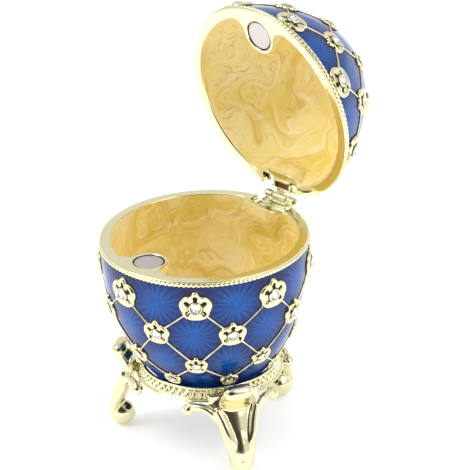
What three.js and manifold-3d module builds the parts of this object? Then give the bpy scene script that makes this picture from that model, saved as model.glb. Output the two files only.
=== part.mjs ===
// A jewelled egg trinket box on a tripod stand, in millimetres, +Z up.
// The origin is on the table under the egg's upright axis, with the hinge towards +Y.
// The box stands open: the lid leans back on its hinge, past its balance point.
import * as THREE from 'three';
import { mergeVertices } from 'three/addons/utils/BufferGeometryUtils.js';
import Module from 'manifold-3d';

const wasm = await Module();
wasm.setup();

// ---------------------------------------------------------------- driving dimensions

const CLEARANCE = 0.3;            // between pieces that touch
const SEAM_HEIGHT = 47.1;         // the plane where bowl and lid meet, above the table
const OPEN_ANGLE = THREE.MathUtils.degToRad(82.5);
const AROUND = 26;                // sides of a turned surface

const RIM = { outer: 22.3, inner: 20.1, bead: 22.6, beadTop: 0.4, beadFoot: 1.45 };

// Egg halves. A half's radius at depth d is R * sqrt(1 - (d / length) ** power).
const BOWL = { length: 36.8, innerLength: 34.6, power: 2.1, steps: 6 };
const LID = { length: 23.2, innerLength: 21.0, power: 1.3, steps: 5 };

// Flowers stand in rows around the egg, each row turned half a step from the last.
const FLOWERS_IN_ROW = 8;
const FLOWER_HEIGHT = 0.75;
const FLOWER_ROOT = 0.8;          // how far a flower reaches into the wall
const BOWL_ROWS = [
  { name: 'upper', depth: 6.1, across: 7.2, stagger: 0 },
  { name: 'middle', depth: 13.7, across: 6.2, stagger: 0.5 },
  { name: 'lower', depth: 21.9, across: 5.0, stagger: 0 },
];
const LID_ROWS = [
  { name: 'lower', depth: 3.9, across: 7.0, stagger: 0.5 },
  { name: 'middle', depth: 10.2, across: 5.8, stagger: 0 },
  { name: 'upper', depth: 16.6, across: 4.8, stagger: 0.5 },
];
const CROWN_ACROSS = 5.6;
const BOWL_TURN = THREE.MathUtils.degToRad(-5);
const LID_TURN = THREE.MathUtils.degToRad(-3.5);
const STONE_SHARE = 0.31;         // a stone's width as a share of its flower's
const STONE_GAP = 0.15;

const MAGNET = { out: 16.4, radius: 3.1, thick: 1.9, sunk: 0.3 };
const MAGNET_BOSS = { halfSpan: 0, out: 16.4, round: 4.1, fillet: 3.0, deep: 4.2 };

const HINGE = { out: 23.6, barrel: 0.95, bore: 0.55, pin: 0.46, head: 0.85 };
const KNUCKLE = { middle: 1.9, inner: 2.2, outer: 4.2 };
const LEAF = { halfWidth: 4.2, thick: 0.7, from: 18.9, to: 22.2, offset: 0.95 };
const HINGE_BULGE = { halfSpan: 2.6, out: 19.7, round: 2.4, fillet: 3.0, deep: 6.0 };
const POCKET = { halfWidth: 5.0, from: 18.5, deep: 2.3 };

const LEGS = 3;
const STAND_TURN = THREE.MathUtils.degToRad(1.5);
const BAND = {
  top: 18.1, topIn: 14.4, topOut: 15.0, foot: 14.9, footIn: 14.0, footOut: 15.9, knots: 18,
};
const FOOT = { out: 20.1, up: 2.75, long: 3.1, high: 3.05, wide: 2.7 };
const VOLUTE = { out: 19.6, up: 18.7, long: 1.9, high: 1.85, wide: 2.3 };
const DROP = { out: 16.9, up: 13.7, radius: 1.35, turn: THREE.MathUtils.degToRad(34) };

// ---------------------------------------------------------------- materials

const finish = (color, roughness, metalness) =>
  new THREE.MeshStandardMaterial({ color, roughness, metalness });

const ENAMELLED = finish(0x1f3f9e, 0.2, 0.3);
const GILT = finish(0xe6d79a, 0.22, 1.0);
const MAGNET_FACE = finish(0xb9b3b0, 0.45, 1.0);
const CRYSTAL = finish(0xf2f0ff, 0.05, 0.0);

// ---------------------------------------------------------------- solids and meshes

// Six times the volume that an indexed triangle mesh encloses; negative if inside out.
function signedVolume(positions, triangles) {
  const corner = (i) => new THREE.Vector3().fromArray(positions, 3 * triangles[i]);
  let sum = 0;
  for (let i = 0; i < triangles.length; i += 3) {
    sum += corner(i).dot(corner(i + 1).cross(corner(i + 2)));
  }
  return sum;
}

// Welds a closed geometry's corners, drops its empty triangles and turns it right side out.
function toSolid(geometry) {
  const bare = geometry.clone();
  bare.deleteAttribute('normal');
  bare.deleteAttribute('uv');
  const welded = mergeVertices(bare, 1e-4);
  const positions = welded.attributes.position.array;
  const triangles = [];
  for (let i = 0; i < welded.index.count; i += 3) {
    const [a, b, c] = [0, 1, 2].map((k) => welded.index.getX(i + k));
    if (a !== b && b !== c && c !== a) triangles.push(a, b, c);
  }
  if (signedVolume(positions, triangles) < 0) triangles.reverse();
  return new wasm.Manifold(new wasm.Mesh({
    numProp: 3,
    vertProperties: new Float32Array(positions),
    triVerts: new Uint32Array(triangles),
  }));
}

function toGeometry(solid) {
  const mesh = solid.getMesh();
  const geometry = new THREE.BufferGeometry();
  geometry.setAttribute('position', new THREE.BufferAttribute(mesh.vertProperties, 3));
  geometry.setIndex(new THREE.BufferAttribute(mesh.triVerts, 1));
  geometry.computeVertexNormals();
  return geometry;
}

const joined = (solids) => solids.reduce((whole, next) => whole.add(next));

function named(name, solid, material) {
  const mesh = new THREE.Mesh(toGeometry(solid), material);
  mesh.name = name;
  return mesh;
}

// ---------------------------------------------------------------- shapes

// A solid turned about Z from a profile of [radius, z] pairs.
function turned(profile, sides = AROUND) {
  const points = profile.map(([radius, z]) => new THREE.Vector2(radius, z));
  return toSolid(new THREE.LatheGeometry(points, sides).rotateX(Math.PI / 2));
}

function box(low, high) {
  const size = high.map((value, i) => value - low[i]);
  const centre = high.map((value, i) => (value + low[i]) / 2);
  return toSolid(new THREE.BoxGeometry(...size).translate(...centre));
}

// A round bar along X from x = start to x = end, about the given y and z.
function barAlongX(radius, start, end, y, z, sides = 8) {
  const bar = new THREE.CylinderGeometry(radius, radius, end - start, sides);
  return toSolid(bar.rotateZ(Math.PI / 2).translate((start + end) / 2, y, z));
}

// An upright round plug from z = low to z = high.
function plug(radius, y, low, high, sides = 12) {
  const bar = new THREE.CylinderGeometry(radius, radius, high - low, sides);
  return toSolid(bar.rotateX(Math.PI / 2).translate(0, y, (low + high) / 2));
}

function ellipsoid(centre, halfSizes, around = 8, rings = 6) {
  const ball = new THREE.SphereGeometry(1, around, rings).rotateX(Math.PI / 2);
  return toSolid(ball.scale(...halfSizes).translate(...centre));
}

// A bar along a curve whose section is an ellipse of the given half sizes. The first half
// size lies along `side`, the second across both `side` and the curve.
function swept(curve, side, halfSizes, steps, sides) {
  const bar = new THREE.CylinderGeometry(1, 1, 1, sides, steps);
  const spots = bar.attributes.position;
  for (let i = 0; i < spots.count; i += 1) {
    const along = THREE.MathUtils.clamp(spots.getY(i) + 0.5, 0, 1);
    const [halfSide, halfAcross] = halfSizes(along);
    const across = curve.getTangent(along).cross(side).normalize();
    const spot = curve.getPoint(along)
      .addScaledVector(side, halfSide * spots.getX(i))
      .addScaledVector(across, halfAcross * spots.getZ(i));
    spots.setXYZ(i, spot.x, spot.y, spot.z);
  }
  return toSolid(bar);
}

// Reads a list of evenly spaced values at a share from 0 to 1, in straight stretches.
function blended(values, share) {
  const place = share * (values.length - 1);
  const low = Math.min(Math.floor(place), values.length - 2);
  return THREE.MathUtils.lerp(values[low], values[low + 1], place - low);
}

// ---------------------------------------------------------------- the egg's halves
// Each half is made as a cup, open upwards at z = 0, with the hinge towards +Y. The lid
// is a cup turned over about Y.

function eggRadius(half, depth) {
  return RIM.outer * Math.sqrt(Math.max(0, 1 - (depth / half.length) ** half.power));
}

// Profile points of a half from just below its rim down to its pole.
function eggCurve(radius, length, power, steps, start) {
  const points = [];
  for (let i = 0; i <= steps; i += 1) {
    const lift = start / length;
    const share = lift + (1 - lift) * Math.sin((Math.PI / 2) * (i / steps));
    points.push([radius * Math.sqrt(Math.max(0, 1 - share ** power)), -length * share]);
  }
  return points;
}

const rimTop = -CLEARANCE / 2;

function outerProfile(half) {
  const middle = (RIM.beadTop + RIM.beadFoot) / 2;
  return [
    [RIM.outer, rimTop],
    [RIM.bead, -middle],
    [eggRadius(half, RIM.beadFoot) - 0.05, -RIM.beadFoot],
    ...eggCurve(RIM.outer, half.length, half.power, half.steps, RIM.beadFoot + 0.3),
  ];
}

// A tab that grows in from the wall on the -Y side, with a round nose and soft roots.
function tabSolid(tab) {
  const rootOut = RIM.inner - tab.fillet;
  const reach = tab.round + tab.fillet;
  // The root circle's centre is `rootOut` from the axis and `reach` from the nose's centre.
  const gap = Math.hypot(tab.halfSpan, tab.out);
  const toNose = (gap ** 2 + rootOut ** 2 - reach ** 2) / (2 * gap * rootOut);
  const noseAngle = Math.atan2(tab.out, tab.halfSpan);
  const rootAngle = noseAngle - Math.acos(toNose);
  const root = [rootOut * Math.cos(rootAngle), rootOut * Math.sin(rootAngle)];
  const touch = Math.atan2(root[1] - tab.out, root[0] - tab.halfSpan);
  const wall = RIM.inner + 0.9;
  const outline = new THREE.Shape();
  outline.moveTo(wall * Math.cos(rootAngle), wall * Math.sin(rootAngle));
  outline.absarc(...root, tab.fillet, rootAngle, touch + Math.PI, false);
  outline.absarc(tab.halfSpan, tab.out, tab.round, touch, -Math.PI / 2, true);
  outline.absarc(-tab.halfSpan, tab.out, tab.round, -Math.PI / 2, Math.PI - touch, true);
  outline.absarc(-root[0], root[1], tab.fillet, -touch, Math.PI - rootAngle, false);
  outline.lineTo(-wall * Math.cos(rootAngle), wall * Math.sin(rootAngle));
  outline.lineTo(0, wall);
  const block = new THREE.ExtrudeGeometry(outline, {
    depth: tab.deep, bevelEnabled: false, curveSegments: 3,
  });
  return toSolid(block.translate(0, 0, rimTop - tab.deep));
}

// The frame of a spot on a half: X around it, Y up towards the rim, Z straight out.
function spotOn(half, azimuth, depth) {
  const reach = 0.01;
  const slope = (eggRadius(half, depth - reach) - eggRadius(half, depth + reach)) / (2 * reach);
  const out = new THREE.Vector3(Math.cos(azimuth), Math.sin(azimuth), -slope).normalize();
  const around = new THREE.Vector3(-Math.sin(azimuth), Math.cos(azimuth), 0);
  const radius = eggRadius(half, depth);
  return new THREE.Matrix4()
    .makeBasis(around, out.clone().cross(around), out)
    .setPosition(radius * Math.cos(azimuth), radius * Math.sin(azimuth), -depth);
}

const poleOf = (half) => new THREE.Matrix4()
  .makeRotationX(Math.PI)
  .setPosition(0, 0, -half.length);

// Every flower of a half, row by row: its name, place and width.
function flowersOf(half, rows, turn) {
  return rows.flatMap((row) => Array.from({ length: FLOWERS_IN_ROW }, (_, i) => {
    const azimuth = turn - Math.PI / 2 + (2 * Math.PI * (i + row.stagger)) / FLOWERS_IN_ROW;
    return {
      name: `${row.name}_${i + 1}`,
      place: spotOn(half, azimuth, row.depth),
      across: row.across,
    };
  }));
}

// A flower's outline has four lobes, and a small point towards the rim.
function flowerSolid(flower) {
  const lobes = 4;
  const radius = flower.across / 2;
  const outline = new THREE.Shape();
  for (let i = 0; i < 2 * lobes; i += 1) {
    const angle = Math.PI / 2 + (Math.PI * i) / lobes;
    const share = i === 0 ? 1.08 : 0.86 + 0.14 * (i % 2);
    outline.lineTo(radius * share * Math.cos(angle), radius * share * Math.sin(angle));
  }
  const block = new THREE.ExtrudeGeometry(outline, {
    depth: FLOWER_ROOT + FLOWER_HEIGHT, bevelEnabled: false,
  });
  block.translate(0, 0, -FLOWER_ROOT);
  return toSolid(block.applyMatrix4(flower.place));
}

// A stone is a five-sided cut gem that sits just clear of its flower.
function stoneSolid(flower) {
  const radius = (flower.across * STONE_SHARE) / 2;
  const height = 0.7 * radius;
  const gem = new THREE.CylinderGeometry(0.6 * radius, radius, height, 5);
  gem.rotateX(Math.PI / 2).translate(0, 0, FLOWER_HEIGHT + STONE_GAP + height / 2);
  return toSolid(gem.applyMatrix4(flower.place));
}

// A half's casting: the hollow cup with its bosses, hinge pocket and flowers.
function cupSolid(half, flowers) {
  const outside = outerProfile(half);
  const full = turned([[0, rimTop], ...outside]);
  const cavity = turned([
    [0, 1],
    [RIM.inner, 1],
    ...eggCurve(RIM.inner, half.innerLength, half.power, half.steps - 1, 0.4),
  ]);
  const tabs = [
    tabSolid(MAGNET_BOSS).rotate([0, 0, 180]),
    tabSolid(HINGE_BULGE),
  ];
  const pocket = box(
    [-POCKET.halfWidth, POCKET.from, -POCKET.deep],
    [POCKET.halfWidth, RIM.bead + 2, 1],
  );
  const magnetSeat = plug(
    MAGNET.radius + CLEARANCE, -MAGNET.out,
    -MAGNET.sunk - MAGNET.thick - CLEARANCE, 1,
  );
  const shell = joined([full.subtract(cavity), ...tabs.map((tab) => tab.intersect(full))]);
  return joined([shell, ...flowers.map(flowerSolid)]).subtract(pocket).subtract(magnetSeat);
}

// ---------------------------------------------------------------- magnets and hinge
// These are made for the bowl, with the seam at z = 0; the lid's are turned over about Y.

const magnetSolid = () => plug(
  MAGNET.radius, -MAGNET.out, -MAGNET.sunk - MAGNET.thick, -MAGNET.sunk,
);

// A leaf lies in its pocket and rises to its knuckles, which stand on the pin's line.
function leafSolid(knuckles) {
  const top = -LEAF.offset;
  const plate = box(
    [-LEAF.halfWidth, LEAF.from, top - LEAF.thick],
    [LEAF.halfWidth, LEAF.to, top],
  );
  const parts = knuckles.flatMap(([start, end]) => [
    box([start, LEAF.to - 0.2, top - LEAF.thick], [end, HINGE.out + 0.2, top + 0.2]),
    barAlongX(HINGE.barrel, start, end, HINGE.out, 0),
  ]);
  const bore = barAlongX(HINGE.bore, -KNUCKLE.outer - 1, KNUCKLE.outer + 1, HINGE.out, 0);
  return joined([plate, ...parts]).subtract(bore);
}

function pinSolid() {
  const end = KNUCKLE.outer + 0.15;
  const heads = [-1, 1].map((way) => {
    const tip = new THREE.CylinderGeometry(0.45 * HINGE.head, HINGE.head, 0.45, 8);
    tip.rotateZ((-way * Math.PI) / 2).translate(way * (end + 0.225), HINGE.out, 0);
    return toSolid(tip);
  });
  return joined([barAlongX(HINGE.pin, -end - 0.1, end + 0.1, HINGE.out, 0), ...heads]);
}

// ---------------------------------------------------------------- the stand

// One leg stands in the XZ plane, out along +X, with its foot on z = 0.
function legSolid() {
  const at = ([out, up]) => new THREE.Vector3(out, 0, up);
  const sideways = new THREE.Vector3(0, 1, 0);
  const shank = new THREE.CatmullRomCurve3(
    [[15.9, 17.4], [16.5, 14.6], [18.0, 11.4], [19.9, 7.8], [21.3, 4.6], [21.0, 2.4]].map(at),
  );
  const halfWidths = [5.8, 5.6, 4.7, 3.7, 2.9, 2.4];
  const halfDepths = [1.0, 1.3, 1.5, 1.5, 1.5, 1.4];
  const neck = new THREE.CatmullRomCurve3([[16.6, 14.2], [17.7, 15.8], [19.4, 18.3]].map(at));
  return joined([
    swept(shank, sideways, (t) => [blended(halfWidths, t), blended(halfDepths, t)], 5, 7),
    swept(neck, sideways, (t) => [blended([2.4, 2.0, 1.8], t), blended([1.4, 1.3, 1.2], t)], 2, 5),
    ellipsoid([FOOT.out, 0, FOOT.up], [FOOT.long, FOOT.wide, FOOT.high], 9, 6),
    ellipsoid([VOLUTE.out, 0, VOLUTE.up], [VOLUTE.long, VOLUTE.wide, VOLUTE.high], 7, 5),
    ...[-1, 1].flatMap(armSolids),
  ]);
}

// An arm springs from the leg's side and runs up under the band to a round drop.
function armSolids(way) {
  const dropAt = [DROP.out * Math.cos(DROP.turn), way * DROP.out * Math.sin(DROP.turn), DROP.up];
  const route = new THREE.CatmullRomCurve3([
    new THREE.Vector3(19.6, 2.0 * way, 8.0),
    new THREE.Vector3(17.9, 3.7 * way, 11.6),
    new THREE.Vector3(16.1, 6.3 * way, 14.4),
    new THREE.Vector3(dropAt[0], dropAt[1], DROP.up + 0.7),
  ]);
  const outwards = new THREE.Vector3(Math.cos(DROP.turn / 2), way * Math.sin(DROP.turn / 2), 0);
  return [
    swept(route, outwards, (t) => [blended([0.9, 1.1, 1.0, 0.8], t), 1.0], 4, 5),
    ellipsoid(dropAt, [DROP.radius, DROP.radius, DROP.radius], 6, 4),
  ];
}

// The band is a flared collar with a plain edge above and below a row of scrolled knots.
// Its inner face keeps clear of the egg, which stands in its upper edge.
function bandSolid() {
  return turned([
    [BAND.footIn, BAND.foot],
    [BAND.footOut, BAND.foot],
    [BAND.footOut, BAND.foot + 0.5],
    [BAND.footOut - 0.5, BAND.foot + 0.8],
    [BAND.topOut - 0.45, BAND.top - 0.8],
    [BAND.topOut, BAND.top - 0.5],
    [BAND.topOut, BAND.top],
    [BAND.topIn, BAND.top],
    [BAND.footIn, BAND.foot],
  ]);
}

function knotSolid(index) {
  const up = (BAND.top + BAND.foot) / 2;
  const out = (BAND.topOut + BAND.footOut) / 2 - 0.45;
  const lean = index % 2 === 0 ? 0.5 : -0.5;
  const knot = new THREE.OctahedronGeometry(1, 0).scale(0.55, 1.0, 1.15).rotateX(lean);
  knot.translate(out, 0, up).rotateZ((2 * Math.PI * index) / BAND.knots);
  return toSolid(knot);
}

function standSolid() {
  const leg = legSolid();
  const legs = Array.from({ length: LEGS }, (_, i) => leg.rotate([0, 0, 90 + (360 * i) / LEGS]));
  const knots = Array.from({ length: BAND.knots }, (_, i) => knotSolid(i));
  const wide = 2 * RIM.outer;
  const underground = box([-wide, -wide, -wide], [wide, wide, 0]);
  return joined([bandSolid(), ...knots, ...legs]).subtract(underground);
}

// ---------------------------------------------------------------- assembly

const bowlFlowers = flowersOf(BOWL, BOWL_ROWS, BOWL_TURN);
// Turning the lid's cup over about Y swaps left and right, so its rows are turned back.
const lidFlowers = flowersOf(LID, LID_ROWS, -LID_TURN);
const crown = { name: 'crown', place: poleOf(LID), across: CROWN_ACROSS };

const bowlSolid = cupSolid(BOWL, bowlFlowers);
const lidSolid = cupSolid(LID, [...lidFlowers, crown]);

const base = new THREE.Group();
base.position.z = SEAM_HEIGHT;
base.add(
  named('egg_bowl', bowlSolid, ENAMELLED),
  named('bowl_magnet', magnetSolid(), MAGNET_FACE),
  named('bowl_hinge_leaf', leafSolid([
    [-KNUCKLE.outer, -KNUCKLE.inner], [KNUCKLE.inner, KNUCKLE.outer],
  ]), GILT),
  named('hinge_pin', pinSolid(), GILT),
  ...bowlFlowers.map((flower) => named(
    `bowl_crystal_${flower.name}`, stoneSolid(flower), CRYSTAL,
  )),
);

const stand = new THREE.Group();
stand.rotation.z = STAND_TURN;
stand.add(named('tripod_stand', standSolid(), GILT));

// The cup for the lid is turned over about Y inside a group that swings on the hinge.
const lidCup = new THREE.Group();
lidCup.rotation.y = Math.PI;
lidCup.position.y = -HINGE.out;
lidCup.add(
  named('egg_lid', lidSolid, ENAMELLED),
  named('lid_magnet', magnetSolid(), MAGNET_FACE),
  named('lid_hinge_leaf', leafSolid([[-KNUCKLE.middle, KNUCKLE.middle]]), GILT),
  ...[...lidFlowers, crown].map((flower) => named(
    `lid_crystal_${flower.name}`, stoneSolid(flower), CRYSTAL,
  )),
);
const lid = new THREE.Group();
lid.position.set(0, HINGE.out, SEAM_HEIGHT);
lid.rotation.x = -OPEN_ANGLE;
lid.add(lidCup);

const eggBox = new THREE.Group();
eggBox.add(stand, base, lid);

export default eggBox;
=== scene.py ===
"""Dresses the jewelled egg trinket box: enamel, gilt trellis, rosettes, stones and stand.

Lengths inside the classes are in millimetres, in the frame of a cup that opens upwards with
its rim on z = 0 and its hinge towards +Y. A Place carries them into the frame, in metres.
"""

import logging
import math
from dataclasses import dataclass, field
from enum import Enum

import bpy
import numpy as np
from mathutils import Matrix


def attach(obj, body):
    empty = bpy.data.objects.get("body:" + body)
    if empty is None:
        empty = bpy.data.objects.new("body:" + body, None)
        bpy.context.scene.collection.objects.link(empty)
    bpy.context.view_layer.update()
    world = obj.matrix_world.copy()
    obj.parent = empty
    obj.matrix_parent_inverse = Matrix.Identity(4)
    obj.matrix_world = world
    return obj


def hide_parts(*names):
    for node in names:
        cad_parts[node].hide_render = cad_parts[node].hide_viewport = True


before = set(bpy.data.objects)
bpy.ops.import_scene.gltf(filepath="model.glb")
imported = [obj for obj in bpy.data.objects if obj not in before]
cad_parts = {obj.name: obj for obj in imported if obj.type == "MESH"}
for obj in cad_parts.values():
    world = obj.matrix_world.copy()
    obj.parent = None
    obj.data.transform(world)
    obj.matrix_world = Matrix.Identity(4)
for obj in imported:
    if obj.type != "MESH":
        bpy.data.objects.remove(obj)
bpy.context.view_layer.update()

LOG = logging.getLogger("egg_box")
MM = 0.001
SEAM_HEIGHT = 47.1
HINGE_OUT = 23.6
OPEN_ANGLE = math.radians(82.5)
FLOWERS_IN_ROW = 8
FLOWER_STEP = 2 * math.pi / FLOWERS_IN_ROW


class Body(Enum):
    """The two bodies that the hinge joins."""

    BASE = "base"
    LID = "lid"


class Slot(Enum):
    """The record's material slots."""

    ENAMEL = "blue_enamel"
    GILT = "gilt"
    MAGNET = "magnet_face"
    CRYSTAL = "crystal"


# ------------------------------------------------------------------ small helpers


def linear(red: int, green: int, blue: int) -> tuple[float, float, float, float]:
    """Turns a screen colour into a linear one.

    Args:
        red: Red, from 0 to 255.
        green: Green, from 0 to 255.
        blue: Blue, from 0 to 255.

    Returns:
        The linear colour, with alpha 1.
    """
    share = np.array([red, green, blue]) / 255
    low = share / 12.92
    high = ((share + 0.055) / 1.055) ** 2.4
    return (*np.where(share <= 0.04045, low, high).tolist(), 1.0)


def smooth_step(value: np.ndarray, low: float, high: float) -> np.ndarray:
    """Rises from 0 at `low` to 1 at `high` with level ends."""
    share = np.clip((value - low) / (high - low), 0, 1)
    return share * share * (3 - 2 * share)


def unit(vectors: np.ndarray) -> np.ndarray:
    """Scales vectors, which lie along the last axis, to length 1."""
    return vectors / np.maximum(np.linalg.norm(vectors, axis=-1, keepdims=True), 1e-12)


def spline(knots: np.ndarray, count: int) -> np.ndarray:
    """Runs a smooth curve through evenly weighted knots.

    Formula: a Catmull-Rom curve, which between two knots is the cubic whose end slopes are
    half the chord between each knot's neighbours.

    Args:
        knots: The knots, one a row, of any width.
        count: How many points to return.

    Returns:
        The points, one a row.
    """
    knots = np.asarray(knots, float)
    padded = np.vstack([2 * knots[0] - knots[1], knots, 2 * knots[-1] - knots[-2]])
    place = np.linspace(0, len(knots) - 1, count)
    low = np.minimum(place.astype(int), len(knots) - 2)
    t = (place - low)[:, None]
    before, start, end, after = (padded[low + k] for k in range(4))
    return 0.5 * (
        2 * start
        + (end - before) * t
        + (2 * before - 5 * start + 4 * end - after) * t**2
        + (3 * start - before - 3 * end + after) * t**3
    )


@dataclass(frozen=True)
class Place:
    """Carries points of a cup, in millimetres, into the frame, in metres."""

    body: Body

    def carry(self, points: np.ndarray) -> np.ndarray:
        """Carries points into the frame.

        The bowl is lifted to the seam. The lid is turned over about Y, then swung open
        about the hinge's line.

        Args:
            points: Points in millimetres, along the last axis.

        Returns:
            The same points in metres, at rest.
        """
        x, y, z = np.moveaxis(np.asarray(points, float), -1, 0)
        if self.body is Body.LID:
            x, y, z = -x, y - HINGE_OUT, -z
            turned = y * math.cos(OPEN_ANGLE) + z * math.sin(OPEN_ANGLE)
            z = z * math.cos(OPEN_ANGLE) - y * math.sin(OPEN_ANGLE)
            y = turned + HINGE_OUT
        return np.stack([x, y, z + SEAM_HEIGHT], axis=-1) * MM


# ------------------------------------------------------------------ surfaces


@dataclass
class Surface:
    """Closed surfaces that grow into one mesh, with values and a UV map at their corners."""

    places: list[np.ndarray] = field(default_factory=list)
    faces: list[np.ndarray] = field(default_factory=list)
    uvs: list[np.ndarray] = field(default_factory=list)
    values: list[np.ndarray] = field(default_factory=list)
    count: int = 0

    def add_grid(
        self,
        points: np.ndarray,
        value: np.ndarray | None = None,
        uv: np.ndarray | None = None,
        ring: bool = False,
    ) -> None:
        """Adds copies of a grid that wraps round in its columns.

        Rows that end are closed with a fan to their middle; with `ring`, the last row joins
        the first. Each copy is turned right side out by the sign of its volume.

        Args:
            points: An array of copies, rows, columns and xyz.
            value: A value for each point, or None for 0.
            uv: A UV pair for each point of the grid with one more column, or None.
            ring: Whether the rows wrap round too.
        """
        copies, rows, columns, _ = points.shape
        value = np.zeros(points.shape[:3]) if value is None else value
        r = np.arange(rows if ring else rows - 1)
        c = np.arange(columns)
        low, left = np.meshgrid(r, c, indexing="ij")
        high, right = (low + 1) % rows, (left + 1) % columns
        quad = np.stack(
            [low * columns + left, low * columns + right,
             high * columns + right, high * columns + left], axis=-1,
        ).reshape(-1, 4)
        wide = columns + 1
        quad_uv = np.stack(
            [low * wide + left, low * wide + left + 1,
             (low + 1) % rows * wide + left + 1, (low + 1) % rows * wide + left], axis=-1,
        ).reshape(-1, 4)
        flat = points.reshape(copies, rows * columns, 3)
        flat_value = value.reshape(copies, rows * columns)
        size = rows * columns
        fans = []
        if not ring:
            flat = np.concatenate(
                [flat, points[:, :1].mean(axis=2), points[:, -1:].mean(axis=2)], axis=1)
            flat_value = np.concatenate(
                [flat_value, value[:, :1].mean(axis=2), value[:, -1:].mean(axis=2)], axis=1)
            last = (rows - 1) * columns
            fans = [
                np.stack([np.full(columns, size), (c + 1) % columns, c], axis=-1),
                np.stack([np.full(columns, size + 1), last + c,
                          last + (c + 1) % columns], axis=-1),
            ]
        origin = flat.mean(axis=1)[:, None]
        a, b, d = (flat[:, quad[:, k]] - origin for k in (0, 1, 2))
        e = flat[:, quad[:, 3]] - origin
        volume = (np.cross(b - a, d - a) * a).sum((1, 2)) + (np.cross(d - a, e - a) * a).sum((1, 2))
        for i in range(copies):
            step = -1 if volume[i] < 0 else 1
            base = self.count + i * flat.shape[1]
            self.faces.append(quad[:, ::step] + base)
            self.uvs.append(self._corner_uv(uv, i, quad_uv[:, ::step]))
            for k, fan in enumerate(fans):
                self.faces.append(fan[:, ::step] + base)
                self.uvs.append(self._fan_uv(uv, i, k, columns)[:, ::step])
        self.places.append(flat.reshape(-1, 3))
        self.values.append(flat_value.reshape(-1))
        self.count += copies * flat.shape[1]

    @staticmethod
    def _corner_uv(uv: np.ndarray | None, copy: int, corners: np.ndarray) -> np.ndarray:
        """Returns the UV pairs of a copy's quads, or zeros."""
        if uv is None:
            return np.zeros((*corners.shape, 2))
        return uv[copy].reshape(-1, 2)[corners]

    @staticmethod
    def _fan_uv(uv: np.ndarray | None, copy: int, end: int, columns: int) -> np.ndarray:
        """Picks out the UV pairs of the fan that closes the first or the last row.

        Args:
            uv: The UV pairs of every copy, or None for zeros.
            copy: Which copy.
            end: 0 for the first row, 1 for the last.
            columns: Columns of the grid.

        Returns:
            A UV pair for each corner of each triangle of the fan.
        """
        if uv is None:
            return np.zeros((columns, 3, 2))
        row = uv[copy][0 if end == 0 else -1]
        here, after = row[:-1], row[1:]
        tip = (here + after) / 2
        order = [tip, after, here] if end == 0 else [tip, here, after]
        return np.stack(order, axis=1)

    def make(self, name: str, place: Place, sharp: float = 40.0) -> bpy.types.Object:
        """Makes one object of all that was added.

        Args:
            name: The piece's name.
            place: Carries the points into the frame.
            sharp: Edges that turn by more than this, in degrees, stay crisp.

        Returns:
            The new object, at the origin.
        """
        places = place.carry(np.concatenate(self.places))
        mesh = bpy.data.meshes.new(name)
        sizes = np.concatenate([np.full(len(f), f.shape[1]) for f in self.faces])
        corners = np.concatenate([f.reshape(-1) for f in self.faces])
        mesh.vertices.add(len(places))
        mesh.vertices.foreach_set("co", places.astype(np.float32).ravel())
        mesh.loops.add(len(corners))
        mesh.loops.foreach_set("vertex_index", corners.astype(np.int32))
        mesh.polygons.add(len(sizes))
        starts = np.concatenate([[0], np.cumsum(sizes)[:-1]])
        mesh.polygons.foreach_set("loop_start", starts.astype(np.int32))
        mesh.update(calc_edges=True)
        layer = mesh.uv_layers.new(name="pattern")
        uv = np.concatenate([u.reshape(-1, 2) for u in self.uvs])
        layer.data.foreach_set("uv", uv.astype(np.float32).ravel())
        recess = mesh.attributes.new("recess", "FLOAT", "POINT")
        recess.data.foreach_set("value", np.concatenate(self.values).astype(np.float32))
        mesh.validate()
        return finished_object(name, mesh, sharp)


def finished_object(name: str, mesh: bpy.types.Mesh, sharp: float) -> bpy.types.Object:
    """Links a mesh as an object at the origin, smooth but for its sharp edges.

    Args:
        name: The object's name.
        mesh: Its mesh, in the frame, in metres.
        sharp: Edges that turn by more than this, in degrees, stay crisp.

    Returns:
        The object.
    """
    mesh.shade_smooth()
    mesh.set_sharp_from_angle(angle=math.radians(sharp))
    piece = bpy.data.objects.new(name, mesh)
    bpy.context.scene.collection.objects.link(piece)
    return piece


def settled(piece: bpy.types.Object, sharp: float) -> bpy.types.Object:
    """Applies a piece's modifiers and clears them.

    Args:
        piece: The piece, with its modifiers.
        sharp: Edges that turn by more than this, in degrees, stay crisp.

    Returns:
        The same piece.
    """
    graph = bpy.context.evaluated_depsgraph_get()
    mesh = bpy.data.meshes.new_from_object(piece.evaluated_get(graph))
    piece.modifiers.clear()
    piece.data = mesh
    mesh.shade_smooth()
    mesh.set_sharp_from_angle(angle=math.radians(sharp))
    return piece


def lathe(profile: np.ndarray, columns: int) -> np.ndarray:
    """Turns a profile about Z.

    Formula: (r cos a, r sin a, z) for each profile pair (r, z) and each angle a.

    Args:
        profile: Pairs of radius and height.
        columns: How many angles.

    Returns:
        One copy of a grid of rows, columns and xyz.
    """
    angle = np.linspace(0, 2 * math.pi, columns, endpoint=False)
    radius, height = np.asarray(profile, float).T
    return np.stack([
        radius[:, None] * np.cos(angle),
        radius[:, None] * np.sin(angle),
        np.repeat(height[:, None], columns, axis=1),
    ], axis=-1)[None]


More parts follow.
